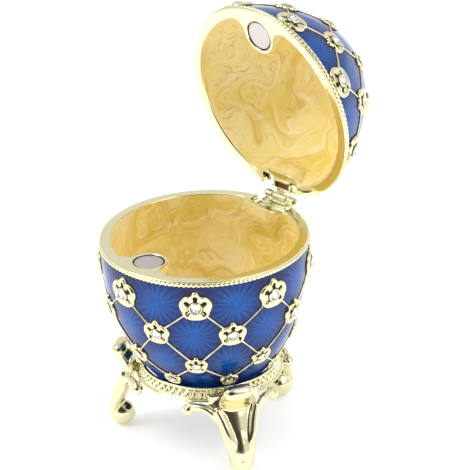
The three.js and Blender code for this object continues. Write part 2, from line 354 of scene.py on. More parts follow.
def tubes(paths: np.ndarray, side: np.ndarray, half: np.ndarray, columns: int,
          power: float = 2.0) -> np.ndarray:
    """Carries an oval section along paths.

    Formula: path + side * w * c + across * d * s, where c and s are the cosine and sine of
    the section's angle raised to 2 / power with their signs kept, and across is the path's
    direction times side.

    Args:
        paths: Copies of a path: copies, steps and xyz.
        side: A vector, or one for each step, that the section's width keeps to.
        half: Half width and half depth, one pair or one for each step.
        columns: Sides of the section.
        power: 2 gives an ellipse, less gives ridges, more gives a rounded box.

    Returns:
        Copies, steps, columns and xyz.
    """
    along = unit(np.gradient(paths, axis=1))
    side = np.broadcast_to(side, paths.shape)
    side = unit(side - along * (side * along).sum(-1, keepdims=True))
    across = np.cross(along, side)
    half = np.broadcast_to(half, (*paths.shape[:2], 2))
    angle = np.linspace(0, 2 * math.pi, columns, endpoint=False)
    cosine = np.sign(np.cos(angle)) * np.abs(np.cos(angle)) ** (2 / power)
    sine = np.sign(np.sin(angle)) * np.abs(np.sin(angle)) ** (2 / power)
    return (
        paths[:, :, None]
        + side[:, :, None] * (half[..., 0:1] * cosine)[..., None]
        + across[:, :, None] * (half[..., 1:2] * sine)[..., None]
    )


def ball(centre: tuple[float, float, float], half: tuple[float, float, float],
         rows: int = 18, columns: int = 28) -> np.ndarray:
    """Makes an ellipsoid.

    Formula: centre + half * (sin p cos a, sin p sin a, cos p), with the poles left to fans.

    Args:
        centre: Its middle.
        half: Its half sizes.
        rows: Rings between the poles.
        columns: Sides of a ring.

    Returns:
        One copy of rows, columns and xyz.
    """
    tilt = np.linspace(0, math.pi, rows + 2)[1:-1, None]
    angle = np.linspace(0, 2 * math.pi, columns, endpoint=False)
    shape = np.stack([
        np.sin(tilt) * np.cos(angle),
        np.sin(tilt) * np.sin(angle),
        np.repeat(np.cos(tilt), columns, axis=1),
    ], axis=-1)
    return (np.array(centre) + shape * np.array(half))[None]


def rounded_block(low: tuple[float, float, float], high: tuple[float, float, float],
                  edge: float, steps: int = 5) -> np.ndarray:
    """Makes a block with rounded edges.

    Formula: for each direction n of a sphere, centre + sign(n) * (half - edge) + edge * n,
    with the directions on the planes between octants taken once for each side.

    Args:
        low: Its lowest corner.
        high: Its highest corner.
        edge: The radius of its edges.
        steps: Directions along each octant's side.

    Returns:
        One copy of rows, columns and xyz.
    """
    low, high = np.array(low, float), np.array(high, float)
    quarter = np.linspace(0, math.pi / 2, steps)
    angle = np.concatenate([quarter + k * math.pi / 2 for k in range(4)])
    side = np.repeat(np.array([[1, 1], [-1, 1], [-1, -1], [1, -1]]), steps, axis=0)
    tilt = np.concatenate([quarter - math.pi / 2, quarter])
    up = np.repeat([-1, 1], steps)
    direction = np.stack([
        np.cos(tilt)[:, None] * np.cos(angle),
        np.cos(tilt)[:, None] * np.sin(angle),
        np.repeat(np.sin(tilt)[:, None], len(angle), axis=1),
    ], axis=-1)
    sign = np.stack([
        np.broadcast_to(side[:, 0], direction.shape[:2]),
        np.broadcast_to(side[:, 1], direction.shape[:2]),
        np.broadcast_to(up[:, None], direction.shape[:2]),
    ], axis=-1)
    core = (high - low) / 2 - edge
    return ((low + high) / 2 + sign * core + edge * direction)[None]


# ------------------------------------------------------------------ shader nodes


@dataclass
class Wiring:
    """Adds nodes to a node tree, with sockets or plain values as inputs."""

    tree: bpy.types.NodeTree

    def node(self, kind: str, **inputs: object) -> bpy.types.Node:
        """Adds a node and sets or links its inputs.

        Args:
            kind: The node's type.
            **inputs: Socket names, with underscores for spaces, and their values or sockets.

        Returns:
            The node.
        """
        made = self.tree.nodes.new(kind)
        for name, value in inputs.items():
            self.feed(made.inputs[name.replace("_", " ")], value)
        return made

    def feed(self, socket: bpy.types.NodeSocket, value: object) -> None:
        """Links a socket to a socket, or sets it to a value."""
        if isinstance(value, bpy.types.NodeSocket):
            self.tree.links.new(value, socket)
        else:
            socket.default_value = value

    def math(self, operation: str, *values: object) -> bpy.types.NodeSocket:
        """Adds a Math node.

        Args:
            operation: What it works out.
            *values: Its inputs, as sockets or numbers.

        Returns:
            The result's socket.
        """
        made = self.tree.nodes.new("ShaderNodeMath")
        made.operation = operation
        for socket, value in zip(made.inputs, values):
            self.feed(socket, value)
        return made.outputs[0]

    def mix(self, share: object, first: object, second: object) -> bpy.types.NodeSocket:
        """Adds a colour Mix node.

        Args:
            share: How much of the second colour there is, from 0 to 1.
            first: The first colour.
            second: The second colour.

        Returns:
            The result's socket.
        """
        made = self.tree.nodes.new("ShaderNodeMix")
        made.data_type = "RGBA"
        self.feed(made.inputs[0], share)
        self.feed(made.inputs[6], first)
        self.feed(made.inputs[7], second)
        return made.outputs[2]

    def ease(self, value: object, low: float, high: float,
             start: float = 0.0, end: float = 1.0) -> bpy.types.NodeSocket:
        """Adds a Map Range node that runs with level ends.

        Args:
            value: What is mapped.
            low: Where the change begins.
            high: Where it ends.
            start: The result at `low` and before it.
            end: The result at `high` and past it.

        Returns:
            The result's socket.
        """
        made = self.tree.nodes.new("ShaderNodeMapRange")
        made.interpolation_type = "SMOOTHSTEP"
        for socket, entry in zip(made.inputs, (value, low, high, start, end)):
            self.feed(socket, entry)
        return made.outputs[0]

    def noise(self, vector: object, scale: object, detail: float,
              distortion: float = 0.0) -> bpy.types.NodeSocket:
        """Adds a Noise Texture.

        Args:
            vector: Where it is read.
            scale: Its scale, as a socket or a number.
            detail: Its layers of detail.
            distortion: How far it is bent.

        Returns:
            The value's socket.
        """
        made = self.node("ShaderNodeTexNoise", Scale=scale, Detail=detail,
                         Distortion=distortion)
        self.feed(made.inputs["Vector"], vector)
        return made.outputs[0]

    def object_place(self) -> bpy.types.NodeSocket:
        """Returns the Object coordinates."""
        return self.tree.nodes.new("ShaderNodeTexCoord").outputs["Object"]


@dataclass(frozen=True)
class Effect:
    """A shader node group that several finishes share."""

    name: str
    inputs: tuple[tuple[str, str], ...]
    outputs: tuple[tuple[str, str], ...]

    def open(self) -> tuple[bpy.types.NodeTree, Wiring, bpy.types.Node, bpy.types.Node]:
        """Starts the group.

        Returns:
            The group, its wiring, and its input and output nodes.
        """
        group = bpy.data.node_groups.new(self.name, "ShaderNodeTree")
        for name, kind in self.inputs:
            group.interface.new_socket(name, in_out="INPUT", socket_type=kind)
        for name, kind in self.outputs:
            group.interface.new_socket(name, in_out="OUTPUT", socket_type=kind)
        source = group.nodes.new("NodeGroupInput")
        target = group.nodes.new("NodeGroupOutput")
        return group, Wiring(group), source, target


FLOAT = "NodeSocketFloat"
COLOUR = "NodeSocketColor"
VECTOR = "NodeSocketVector"


class Effects:
    """Builds each shared effect once and hands it out."""

    def __init__(self) -> None:
        """Builds the effects."""
        self.polish = self._polish()
        self.patina_shade = self._patina_and_shade()
        self.star = self._star()
        self.swirl = self._swirl()

    @staticmethod
    def _polish() -> bpy.types.NodeTree:
        """Hand polishing: slow waves in the metal and small changes of gloss.

        Returns:
            The group, which gives a roughness and a height.
        """
        group, w, source, target = Effect(
            "hand_polish",
            (("Scale", FLOAT), ("Dull", FLOAT), ("Bright", FLOAT)),
            (("Roughness", FLOAT), ("Height", FLOAT)),
        ).open()
        place, scale, finer = w.object_place(), source.outputs["Scale"], 7.0
        slow = w.noise(place, scale, 2.0)
        fine = w.noise(place, w.math("MULTIPLY", scale, finer), 3.0)
        span = w.math("SUBTRACT", source.outputs["Dull"], source.outputs["Bright"])
        rough = w.math("MULTIPLY_ADD", fine, span, source.outputs["Bright"])
        w.feed(target.inputs["Roughness"], rough)
        w.feed(target.inputs["Height"], w.math("MULTIPLY_ADD", fine, 0.15, slow))
        return group

    @staticmethod
    def _patina_and_shade() -> bpy.types.NodeTree:
        """Dark colour in the recesses, from the piece's own recess value: partly patina and partly
        painted shade.

        Returns:
            The group, which gives a colour and the mask of its patina and painted shade.
        """
        group, w, source, target = Effect(
            "patina_and_painted_shade",
            (("Colour", COLOUR), ("Wash", COLOUR), ("Strength", FLOAT)),
            (("Colour", COLOUR), ("Mask", FLOAT)),
        ).open()
        recess = group.nodes.new("ShaderNodeAttribute")
        recess.attribute_name = "recess"
        grain = 900.0
        spread = w.noise(w.object_place(), grain, 2.0)
        loose = w.math("MULTIPLY_ADD", spread, 0.25, -0.12)
        share = w.ease(w.math("ADD", recess.outputs["Fac"], loose), 0.15, 0.7)
        share = w.math("MULTIPLY", share, source.outputs["Strength"])
        w.feed(target.inputs["Colour"],
               w.mix(share, source.outputs["Colour"], source.outputs["Wash"]))
        w.feed(target.inputs["Mask"], share)
        return group

    @staticmethod
    def _star() -> bpy.types.NodeTree:
        """Engine-turned stars, one in each cell of the trellis.

        The UV map counts flowers around in U and rows down in V. With a = U - V/2 and
        b = U + V/2, the wires are where a or b is whole, so each cell's middle is at the
        halves. Rays are waves of the angle around that middle.

        Returns:
            The group, which gives the distance from the middle, the rays, their height and
            the row.
        """
        broad_waves, fine_waves = 19.0, 53.0
        group, w, source, target = Effect(
            "trellis_stars",
            (("Pattern", VECTOR), ("Across", FLOAT), ("Down", FLOAT)),
            (("Away", FLOAT), ("Rays", FLOAT), ("Height", FLOAT), ("Row", FLOAT)),
        ).open()
        split = group.nodes.new("ShaderNodeSeparateXYZ")
        w.feed(split.inputs[0], source.outputs["Pattern"])
        around, down = split.outputs[0], split.outputs[1]
        half_down = w.math("MULTIPLY", w.math("MAXIMUM", down, 0.0), 0.5)
        first = w.math("ADD", w.math("FLOOR", w.math("SUBTRACT", around, half_down)), 0.5)
        second = w.math("ADD", w.math("FLOOR", w.math("ADD", around, half_down)), 0.5)
        middle = w.math("MULTIPLY", w.math("ADD", first, second), 0.5)
        x = w.math("MULTIPLY", w.math("SUBTRACT", around, middle), source.outputs["Across"])
        row = w.math("SUBTRACT", second, first)
        y = w.math("MULTIPLY", w.math("SUBTRACT", down, row), source.outputs["Down"])
        angle = w.math("ARCTAN2", y, x)
        away = w.math("SQRT", w.math("ADD", w.math("MULTIPLY", x, x), w.math("MULTIPLY", y, y)))
        spread = w.noise(w.object_place(), 260.0, 2.0)
        bend = w.math("MULTIPLY", spread, 5.0)
        fine_bend = w.math("MULTIPLY", bend, 1.7)
        broad = w.math("SINE", w.math("MULTIPLY_ADD", angle, broad_waves, bend))
        fine = w.math("SINE", w.math("MULTIPLY_ADD", angle, fine_waves, fine_bend))
        rays = w.math("MULTIPLY_ADD", broad, 0.25, w.math("MULTIPLY_ADD", fine, 0.25, 0.5))
        rays = w.math("MULTIPLY", rays, w.ease(away, 0.3, 1.6))
        w.feed(target.inputs["Away"], away)
        w.feed(target.inputs["Rays"], rays)
        w.feed(target.inputs["Height"], rays)
        w.feed(target.inputs["Row"], down)
        return group

    @staticmethod
    def _swirl() -> bpy.types.NodeTree:
        """Brushed pearl swirls: a noise whose ground is turned by a slow, cloudy angle.

        Returns:
            The group, which gives broad bands, lines, thin threads and the clouds.
        """
        group, w, source, target = Effect(
            "pearl_swirls",
            (("Centre", VECTOR), ("Scale", FLOAT), ("Twist", FLOAT)),
            (("Bands", FLOAT), ("Lines", FLOAT), ("Threads", FLOAT), ("Clouds", FLOAT)),
        ).open()
        place, scale = w.object_place(), source.outputs["Scale"]
        clouds = w.noise(place, scale, 2.0, 0.4)
        turned = group.nodes.new("ShaderNodeVectorRotate")
        turned.rotation_type = "AXIS_ANGLE"
        w.feed(turned.inputs["Vector"], place)
        w.feed(turned.inputs["Center"], source.outputs["Centre"])
        turned.inputs["Axis"].default_value = (0.5, -0.6, 0.62)
        w.feed(turned.inputs["Angle"], w.math("MULTIPLY", clouds, source.outputs["Twist"]))
        for name, finer, detail, distortion in (
            ("Bands", 1.7, 2.0, 0.8), ("Lines", 3.6, 2.5, 1.2), ("Threads", 5.0, 2.0, 1.0),
        ):
            stroke_scale = w.math("MULTIPLY", scale, finer)
            stroke = w.noise(turned.outputs[0], stroke_scale, detail, distortion)
            w.feed(target.inputs[name], stroke)
        w.feed(target.inputs["Clouds"], clouds)
        return group


# ------------------------------------------------------------------ finishes


def new_material(name: str) -> tuple[bpy.types.Material, Wiring, bpy.types.Node]:
    """Starts a material.

    Args:
        name: Its name.

    Returns:
        The material, its wiring and its Principled shader.
    """
    material = bpy.data.materials.new(name)
    material.use_nodes = True
    shader = material.node_tree.nodes["Principled BSDF"]
    return material, Wiring(material.node_tree), shader


def placed(w: Wiring, group: bpy.types.NodeTree, **inputs: object) -> bpy.types.Node:
    """Places a shared effect in a material and feeds its inputs.

    Args:
        w: The material's wiring.
        group: The effect.
        **inputs: Its inputs by name.

    Returns:
        The group node.
    """
    node = w.tree.nodes.new("ShaderNodeGroup")
    node.node_tree = group
    for name, value in inputs.items():
        w.feed(node.inputs[name], value)
    return node


def bumped(w: Wiring, shader: bpy.types.Node, height: object, distance: float,
           strength: float = 1.0) -> None:
    """Feeds a height to the shader's normal through a Bump node.

    Args:
        w: The material's wiring.
        shader: Its Principled shader.
        height: The height's socket.
        distance: How far a height of 1 stands out, in metres.
        strength: How much of the bump shows.
    """
    bump = w.node("ShaderNodeBump", Strength=strength, Distance=distance)
    w.feed(bump.inputs["Height"], height)
    w.feed(shader.inputs["Normal"], bump.outputs["Normal"])


@dataclass(frozen=True)
class GiltFinish:
    """Pale gold plate, polished, with a dark colour in the recesses that is partly patina and
    partly painted shade.
    """

    name: str
    colour: tuple[float, float, float, float] = linear(236, 229, 188)
    # The dark recess colour stands partly for patina and partly for painted shade.
    patina_shade_wash: tuple[float, float, float, float] = linear(52, 42, 22)
    bright: float = 0.09
    dull: float = 0.2
    patina_shade_strength: float = 0.0
    wave: float = 0.00006

    def build(self, effects: Effects) -> bpy.types.Material:
        """Builds the material.

        Args:
            effects: The shared effects.

        Returns:
            The material.
        """
        material, w, shader = new_material(self.name)
        polish = placed(w, effects.polish, Scale=160.0, Dull=self.dull, Bright=self.bright)
        patina_shade = placed(w, effects.patina_shade, Colour=self.colour, Wash=self.patina_shade_wash,
                      Strength=self.patina_shade_strength)
        shader.inputs["Metallic"].default_value = 1.0
        w.feed(shader.inputs["Base Color"], patina_shade.outputs["Colour"])
        rough = w.math("MULTIPLY_ADD", patina_shade.outputs["Mask"], 0.35, polish.outputs["Roughness"])
        w.feed(shader.inputs["Roughness"], rough)
        bumped(w, shader, polish.outputs["Height"], self.wave)
        return material


@dataclass(frozen=True)
class StarEnamelFinish:
    """Clear blue enamel over engine-turned stars: azure middles, violet edges.

    `across` is the way from flower to flower and `down` from row to row, in millimetres.
    """

    name: str
    across: float
    down: float
    middle: tuple[float, float, float, float] = linear(8, 84, 166)
    deep: tuple[float, float, float, float] = linear(14, 44, 112)
    edge: tuple[float, float, float, float] = linear(20, 20, 72)
    ray: tuple[float, float, float, float] = linear(26, 116, 196)

    def build(self, effects: Effects) -> bpy.types.Material:
        """Builds the material.

        Args:
            effects: The shared effects.

        Returns:
            The material.
        """
        material, w, shader = new_material(self.name)
        uv = w.tree.nodes.new("ShaderNodeUVMap")
        uv.uv_map = "pattern"
        star = placed(w, effects.star, Pattern=uv.outputs["UV"], Across=self.across,
                      Down=self.down)
        near = w.ease(star.outputs["Away"], 0.0, 4.4)
        far = w.ease(star.outputs["Away"], 3.4, 7.6)
        # Painted shade: just under the rope and towards the foot the enamel darkens to the edge
        # colour.
        under_rim = w.ease(star.outputs["Row"], -0.25, -0.66, 0.0, 0.55)
        at_foot = w.ease(star.outputs["Row"], 2.5, 3.3, 0.0, 0.85)
        far = w.math("MAXIMUM", far, w.math("MAXIMUM", under_rim, at_foot))
        body = w.mix(near, self.middle, self.deep)
        body = w.mix(far, body, self.edge)
        ray = w.ease(star.outputs["Rays"], 0.35, 0.8)
        fade = w.math("MULTIPLY", ray, w.ease(star.outputs["Away"], 1.5, 6.6, 0.55, 0.1))
        w.feed(shader.inputs["Base Color"], w.mix(fade, body, self.ray))
        shader.inputs["Metallic"].default_value = 0.5
        shader.inputs["Roughness"].default_value = 0.36
        shader.inputs["Specular IOR Level"].default_value = 0.0
        shader.inputs["Specular Tint"].default_value = (0.2, 0.24, 0.5, 1)
        w.feed(shader.inputs["Coat Weight"], w.ease(star.outputs["Row"], 2.5, 3.2, 1.0, 0.0))
        shader.inputs["Coat Roughness"].default_value = 0.05
        shader.inputs["Coat IOR"].default_value = 1.38
        bumped(w, shader, star.outputs["Height"], 0.00012, 0.9)
        return material


@dataclass(frozen=True)
class PearlEnamelFinish:
    """Golden pearl enamel with cream and pink swirls, under a clear gloss."""

    name: str
    centre: tuple[float, float, float]
    shade: tuple[float, float, float, float] = linear(214, 176, 74)
    ochre: tuple[float, float, float, float] = linear(232, 206, 104)
    honey: tuple[float, float, float, float] = linear(242, 222, 140)
    cream: tuple[float, float, float, float] = linear(252, 242, 200)
    blush: tuple[float, float, float, float] = linear(252, 234, 198)

    def build(self, effects: Effects) -> bpy.types.Material:
        """Builds the material.

        Args:
            effects: The shared effects.

        Returns:
            The material.
        """
        material, w, shader = new_material(self.name)
        swirl = placed(w, effects.swirl, Centre=self.centre, Scale=62.0, Twist=9.0)
        body = w.mix(w.ease(swirl.outputs["Bands"], 0.36, 0.64), self.ochre, self.honey)
        pale = w.math("MULTIPLY", w.ease(swirl.outputs["Clouds"], 0.44, 0.66), 0.6)
        body = w.mix(pale, body, self.cream)
        dark = w.math("MULTIPLY", w.ease(swirl.outputs["Threads"], 0.54, 0.68), 0.55)
        body = w.mix(dark, body, self.shade)
        line = w.math("MULTIPLY", w.ease(swirl.outputs["Lines"], 0.54, 0.7), 0.8)
        body = w.mix(line, body, self.blush)
        w.feed(shader.inputs["Base Color"], body)
        shader.inputs["Roughness"].default_value = 0.42
        shader.inputs["Coat Weight"].default_value = 0.35
        shader.inputs["Coat Roughness"].default_value = 0.16
        bumped(w, shader, swirl.outputs["Bands"], 0.00003, 0.4)
        return material


@dataclass(frozen=True)
class PlainFinish:
    """A finish with hand-polished gloss: nickel plate, foil or crystal."""

    name: str
    colour: tuple[float, float, float, float]
    metallic: float = 1.0
    bright: float = 0.3
    dull: float = 0.45
    transmission: float = 0.0
    ior: float = 1.5

    def build(self, effects: Effects) -> bpy.types.Material:
        """Builds the material.

        Args:
            effects: The shared effects.

        Returns:
            The material.
        """
        material, w, shader = new_material(self.name)
        shader.inputs["Base Color"].default_value = self.colour
        shader.inputs["Metallic"].default_value = self.metallic
        shader.inputs["Transmission Weight"].default_value = self.transmission
        shader.inputs["IOR"].default_value = self.ior
        polish = placed(w, effects.polish, Scale=420.0, Dull=self.dull, Bright=self.bright)
        w.feed(shader.inputs["Roughness"], polish.outputs["Roughness"])
        return material


class Finishes:
    """Every finish of the box."""

    def __init__(self, effects: Effects) -> None:
        """Builds the materials.

        Args:
            effects: The shared effects.
        """
        self.gilt = GiltFinish("polished_gilt").build(effects)
        # Chased gilt takes the dark recess colour strongly: painted shade on the rope, wires and
        # rosettes, and partly patina, partly painted shade on the stand's band.
        self.chased = GiltFinish("chased_gilt", patina_shade_strength=0.96).build(effects)
        # The hinge's brown recess colour is a painted shadow and reflection, laid only on the
        # window's pane.
        self.hinge = GiltFinish("hinge_gilt", linear(244, 240, 208), linear(104, 48, 6),
                                patina_shade_strength=0.95).build(effects)
        self.blue_bowl = StarEnamelFinish("blue_enamel_bowl", across=16.6,
                                          down=8.0).build(effects)
        self.blue_lid = StarEnamelFinish("blue_enamel_lid", across=14.5,
                                         down=6.6).build(effects)
        self.pearl = {
            Body.BASE: PearlEnamelFinish("pearl_enamel_bowl", (0, 0, 0.03)).build(effects),
            Body.LID: PearlEnamelFinish("pearl_enamel_lid", (0, 0.03, 0.068)).build(effects),
        }
        self.nickel = PlainFinish("nickel_plate", linear(205, 196, 192)).build(effects)
        self.foil = PlainFinish("silver_foil", linear(250, 248, 250), bright=0.04,
                                dull=0.1).build(effects)
        self.crystal = PlainFinish("clear_crystal", (1, 1, 1, 1), metallic=0.0, bright=0.0,
                                   dull=0.01, transmission=1.0, ior=1.7).build(effects)


def dress(piece: bpy.types.Object, material: bpy.types.Material, body: Body,
          stands_for: tuple[str, ...] = ()) -> None:
    """Gives a piece its finish, its body and the nodes it stands for.

    Args:
        piece: The piece.
        material: Its finish.
        body: The body it rides on.
        stands_for: The CAD nodes that it replaces.
    """
    piece.data.materials.clear()
    piece.data.materials.append(material)
    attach(piece, body.value)
    if stands_for:
        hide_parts(*stands_for)
    LOG.info("%s: %d faces on %s", piece.name, len(piece.data.polygons), body.value)


# ------------------------------------------------------------------ the egg's halves


@dataclass(frozen=True)
class Row:
    """A row of flowers around a half.

    The stagger is in steps from flower to flower, and the shift is in degrees.
    """

    depth: float
    across: float
    stagger: float
    shift: float = 0.0


@dataclass(frozen=True)
class Tab:
    """A tab that grows in from the wall, with a round nose and hollow roots.

    Below the rim it eases back into the wall, and at the depth `deep` it has gone.
    """

    half_span: float
    out: float
    nose: float
    fillet: float
    deep: float

    def outline(self, wall: float, steps: int) -> np.ndarray:
        """Draws half of the tab on the +Y side, from the wall to its middle.

        Formula: the root's hollow arc, then the nose's round arc that it touches, then a
        straight run to x = 0.

        Args:
            wall: The inner wall's radius.
            steps: Points on each arc.

        Returns:
            Pairs of x and y, with x above 0.
        """
        root_out = wall - self.fillet
        reach = self.nose + self.fillet
        gap = math.hypot(self.half_span, self.out)
        to_nose = (gap**2 + root_out**2 - reach**2) / (2 * gap * root_out)
        root_angle = math.atan2(self.out, self.half_span) - math.acos(to_nose)
        root = root_out * np.array([math.cos(root_angle), math.sin(root_angle)])
        nose = np.array([self.half_span, self.out])
        touch = math.atan2(*(root - nose)[::-1])
        hollow = np.linspace(root_angle, touch + math.pi, steps)
        rounded = np.linspace(touch, -math.pi / 2, steps)[1:]
        arcs = [
            root + self.fillet * np.stack([np.cos(hollow), np.sin(hollow)], axis=1),
            nose + self.nose * np.stack([np.cos(rounded), np.sin(rounded)], axis=1),
        ]
        if self.half_span > 0:
            x = np.linspace(self.half_span, 0, 8)[1:]
            arcs.append(np.stack([x, np.full_like(x, self.out - self.nose)], axis=1))
        return np.concatenate(arcs)


@dataclass(frozen=True)
class Rim:
    """The flat rim, its bosses, its hinge pocket and the rope below its edge."""

    outer: float = 22.3
    inner: float = 20.1
    rope_out: float = 22.6
    rope_top: float = 0.4
    rope_foot: float = 1.45
    face: float = 0.15
    soft_edge: float = 0.22
    magnet: Tab = Tab(half_span=0.0, out=16.4, nose=4.1, fillet=3.0, deep=6.0)
    hinge: Tab = Tab(half_span=2.6, out=19.7, nose=2.4, fillet=3.0, deep=10.5)
    tab_straight: float = 0.2
    magnet_out: float = 16.4
    magnet_hole: float = 3.4
    magnet_sunk: float = 0.3
    magnet_radius: float = 3.1
    magnet_thick: float = 1.9
    seat_spare: float = 0.3
    seat_bevel: float = 0.14
    pocket_half: float = 5.0
    pocket_from: float = 18.5
    pocket_deep: float = 2.3
    pocket_edge: float = 0.7
    pocket_past: float = 4.0

    def opening(self) -> np.ndarray:
        """Draws the opening's outline all the way round, from the magnet's nose.

        Returns:
            Pairs of x and y, counter-clockwise from -Y.
        """
        far = self.magnet.outline(self.inner, 26)[::-1] * [1, -1]
        near = self.hinge.outline(self.inner, 20)
        start, end = math.atan2(*far[-1][::-1]), math.atan2(*near[0][::-1])
        angle = np.linspace(start, end, 74)[1:-1]
        wall = self.inner * np.stack([np.cos(angle), np.sin(angle)], axis=1)
        half = np.concatenate([far, wall, near])
        return np.concatenate([half, half[-2:0:-1] * [-1, 1]])


@dataclass
class EggHalf:
    """One half of the egg: its casting, enamels, rope, trellis, flowers and stones."""

    body: Body
    node: str
    length: float
    inner_length: float
    power: float
    rows: tuple[Row, ...]
    turn: float
    stones: tuple[str, ...]
    rim: Rim = Rim()
    skin: float = 0.12
    columns: int = 240
    wire_half: tuple[float, float] = (0.25, 0.24)
    stone_share: float = 0.31
    crown_across: float = 0.0

    def __post_init__(self) -> None:
        """Sets the half's place."""
        self.place = Place(self.body)

    # -------- profile

    def radius(self, depth: np.ndarray) -> np.ndarray:
        """Outer radius at a depth: rim radius * sqrt(1 - (depth / length) ** power)."""
        share = np.clip(np.asarray(depth, float) / self.length, 0, 1)
        return self.rim.outer * np.sqrt(np.maximum(0, 1 - share**self.power))

    def inner_radius(self, depth: np.ndarray) -> np.ndarray:
        """Inner radius at a depth, by the same rule from the inner rim and length."""
        share = np.clip(np.asarray(depth, float) / self.inner_length, 0, 1)
        return self.rim.inner * np.sqrt(np.maximum(0, 1 - share**self.power))

    def frames(self, azimuth: np.ndarray, depth: np.ndarray) -> tuple[np.ndarray, np.ndarray]:
        """Finds spots on the outside and their axes.

        Args:
            azimuth: Angles around Z.
            depth: Depths below the rim.

        Returns:
            The spots, and for each a matrix with rows around, up towards the rim, and out.
        """
        azimuth, depth = np.broadcast_arrays(azimuth, depth)
        reach = 0.01
        slope = (self.radius(depth - reach) - self.radius(depth + reach)) / (2 * reach)
        out = unit(np.stack([np.cos(azimuth), np.sin(azimuth), -slope], axis=-1))
        around = np.stack([-np.sin(azimuth), np.cos(azimuth), 0 * azimuth], axis=-1)
        radius = self.radius(depth)
        spot = np.stack(
            [radius * np.cos(azimuth), radius * np.sin(azimuth), -depth], axis=-1)
        return spot, np.stack([around, np.cross(out, around), out], axis=-2)

    def azimuths(self, row: Row) -> np.ndarray:
        """The angles of a row's flowers."""
        start = self.turn + math.radians(row.shift) - math.pi / 2
        return start + (np.arange(FLOWERS_IN_ROW) + row.stagger) * FLOWER_STEP

    # -------- casting and enamels

    def inner_wall(self, shrink: float, depths: np.ndarray) -> np.ndarray:
        """Works out the inside of the cup.

        Formula: at the top each column stands on the opening's outline. Further down it
        eases, over the tab's depth, to the same share of the way round the cup's circle, and
        it never stands outside the cup's radius. Last it moves in along its own normal.

        Args:
            shrink: How far in from the wall the surface stands.
            depths: Depths, one for each row.

        Returns:
            Rows, columns and xyz.
        """
        outline = self.rim.opening()
        step = np.linalg.norm(outline - np.roll(outline, 1, axis=0), axis=1)
        run = np.cumsum(np.concatenate([[0], step[1:]])) / step.sum()
        angle = 2 * math.pi * run - math.pi / 2
        even = self.rim.inner * np.stack([np.cos(angle), np.sin(angle)], axis=-1)
        near_hinge = smooth_step(outline[:, 1], -8, 8)
        deep = self.rim.magnet.deep + (self.rim.hinge.deep - self.rim.magnet.deep) * near_hinge
        share = smooth_step(depths[:, None] / deep, self.rim.tab_straight, 1.0)[..., None]
        spot = outline * (1 - share) + even * share
        out = np.linalg.norm(spot, axis=-1, keepdims=True)
        spot = spot * np.minimum(1, self.inner_radius(depths)[:, None, None] / out)
        run = np.roll(spot, -1, axis=1) - np.roll(spot, 1, axis=1)
        inward = unit(np.stack([-run[..., 1], run[..., 0]], axis=-1))
        reach = np.linalg.norm(spot, axis=-1, keepdims=True)
        spot = spot + inward * np.minimum(shrink, 0.9 * reach)
        lift = shrink * (depths / self.inner_length) ** 3
        height = np.broadcast_to((lift - depths)[:, None, None], (*spot.shape[:2], 1))
        return np.concatenate([spot, height], axis=-1)

    def build_casting(self, finishes: Finishes) -> None:
        """Builds the gilt casting: hollow cup, flat rim, bosses, magnet seat and pocket.

        Formula: one closed grid, whose rows run up the inside, round the rim's two soft
        edges by the sine and cosine of a quarter turn, and down the outside.

        Args:
            finishes: Every finish.
        """
        rim = self.rim
        soft = rim.soft_edge
        turn = np.linspace(0, math.pi / 2, 6)
        deep = self.inner_length * np.sin(np.linspace(math.pi / 2, 0.02, 64))
        deep = np.concatenate([deep[1:], [rim.face + soft]])
        inside = self.inner_wall(0.0, deep[deep >= rim.face + soft - 1e-9])
        outline = rim.opening()
        angle = np.maximum.accumulate(np.unwrap(np.arctan2(outline[:, 1], outline[:, 0])))
        way = np.stack([np.cos(angle), np.sin(angle)], axis=-1)
        bent = [
            np.concatenate([
                outline + way * soft * (1 - math.cos(t)),
                np.full((len(outline), 1), -rim.face - soft * (1 - math.sin(t))),
            ], axis=1) for t in turn[1:]
        ]
        rolled = [
            np.concatenate([
                way * (rim.outer - soft * (1 - math.sin(t))),
                np.full((len(outline), 1), -rim.face - soft * (1 - math.cos(t))),
            ], axis=1) for t in turn
        ]
        depth = self.length * np.sin(np.linspace(rim.rope_top / self.length, math.pi / 2, 40))
        depth = np.concatenate([[rim.rope_top + 0.1], depth[depth > rim.rope_foot][:-1]])
        outer = np.maximum(self.radius(depth) - self.skin, 0.02)
        outside = np.concatenate([
            way[None] * outer[:, None, None],
            np.broadcast_to(-depth[:, None, None], (len(depth), len(outline), 1)),
        ], axis=-1)
        surface = Surface()
        surface.add_grid(np.concatenate([inside, np.stack(bent), np.stack(rolled), outside])[None])
        casting = surface.make(self.body.value + "_casting", self.place)
        self.cut(casting, self.magnet_seat())
        self.cut(casting, self.pocket())
        dress(casting, finishes.gilt, self.body, (self.node,))

    def magnet_seat(self) -> Surface:
        """Shapes the magnet's round seat, with a small bevel at its mouth.

        Returns:
            The seat, to be cut away.
        """
        rim = self.rim
        hole, foot = rim.magnet_hole, -rim.magnet_sunk - rim.magnet_thick - rim.seat_spare
        mouth = hole + rim.seat_bevel
        profile = [(hole, foot), (hole, -rim.face - 0.12), (mouth, -rim.face + 0.02), (mouth, 1.0)]
        surface = Surface()
        surface.add_grid(lathe(profile, 64) + [0, -rim.magnet_out, 0])
        return surface

    def pocket(self) -> Surface:
        """Shapes the hinge's pocket, a block with rounded edges that runs past the rope.

        Returns:
            The pocket, to be cut away.
        """
        rim, above = self.rim, 3.0
        surface = Surface()
        surface.add_grid(rounded_block(
            (-rim.pocket_half, rim.pocket_from, -rim.pocket_deep),
            (rim.pocket_half, rim.outer + rim.pocket_past, above), rim.pocket_edge,
        ))
        return surface

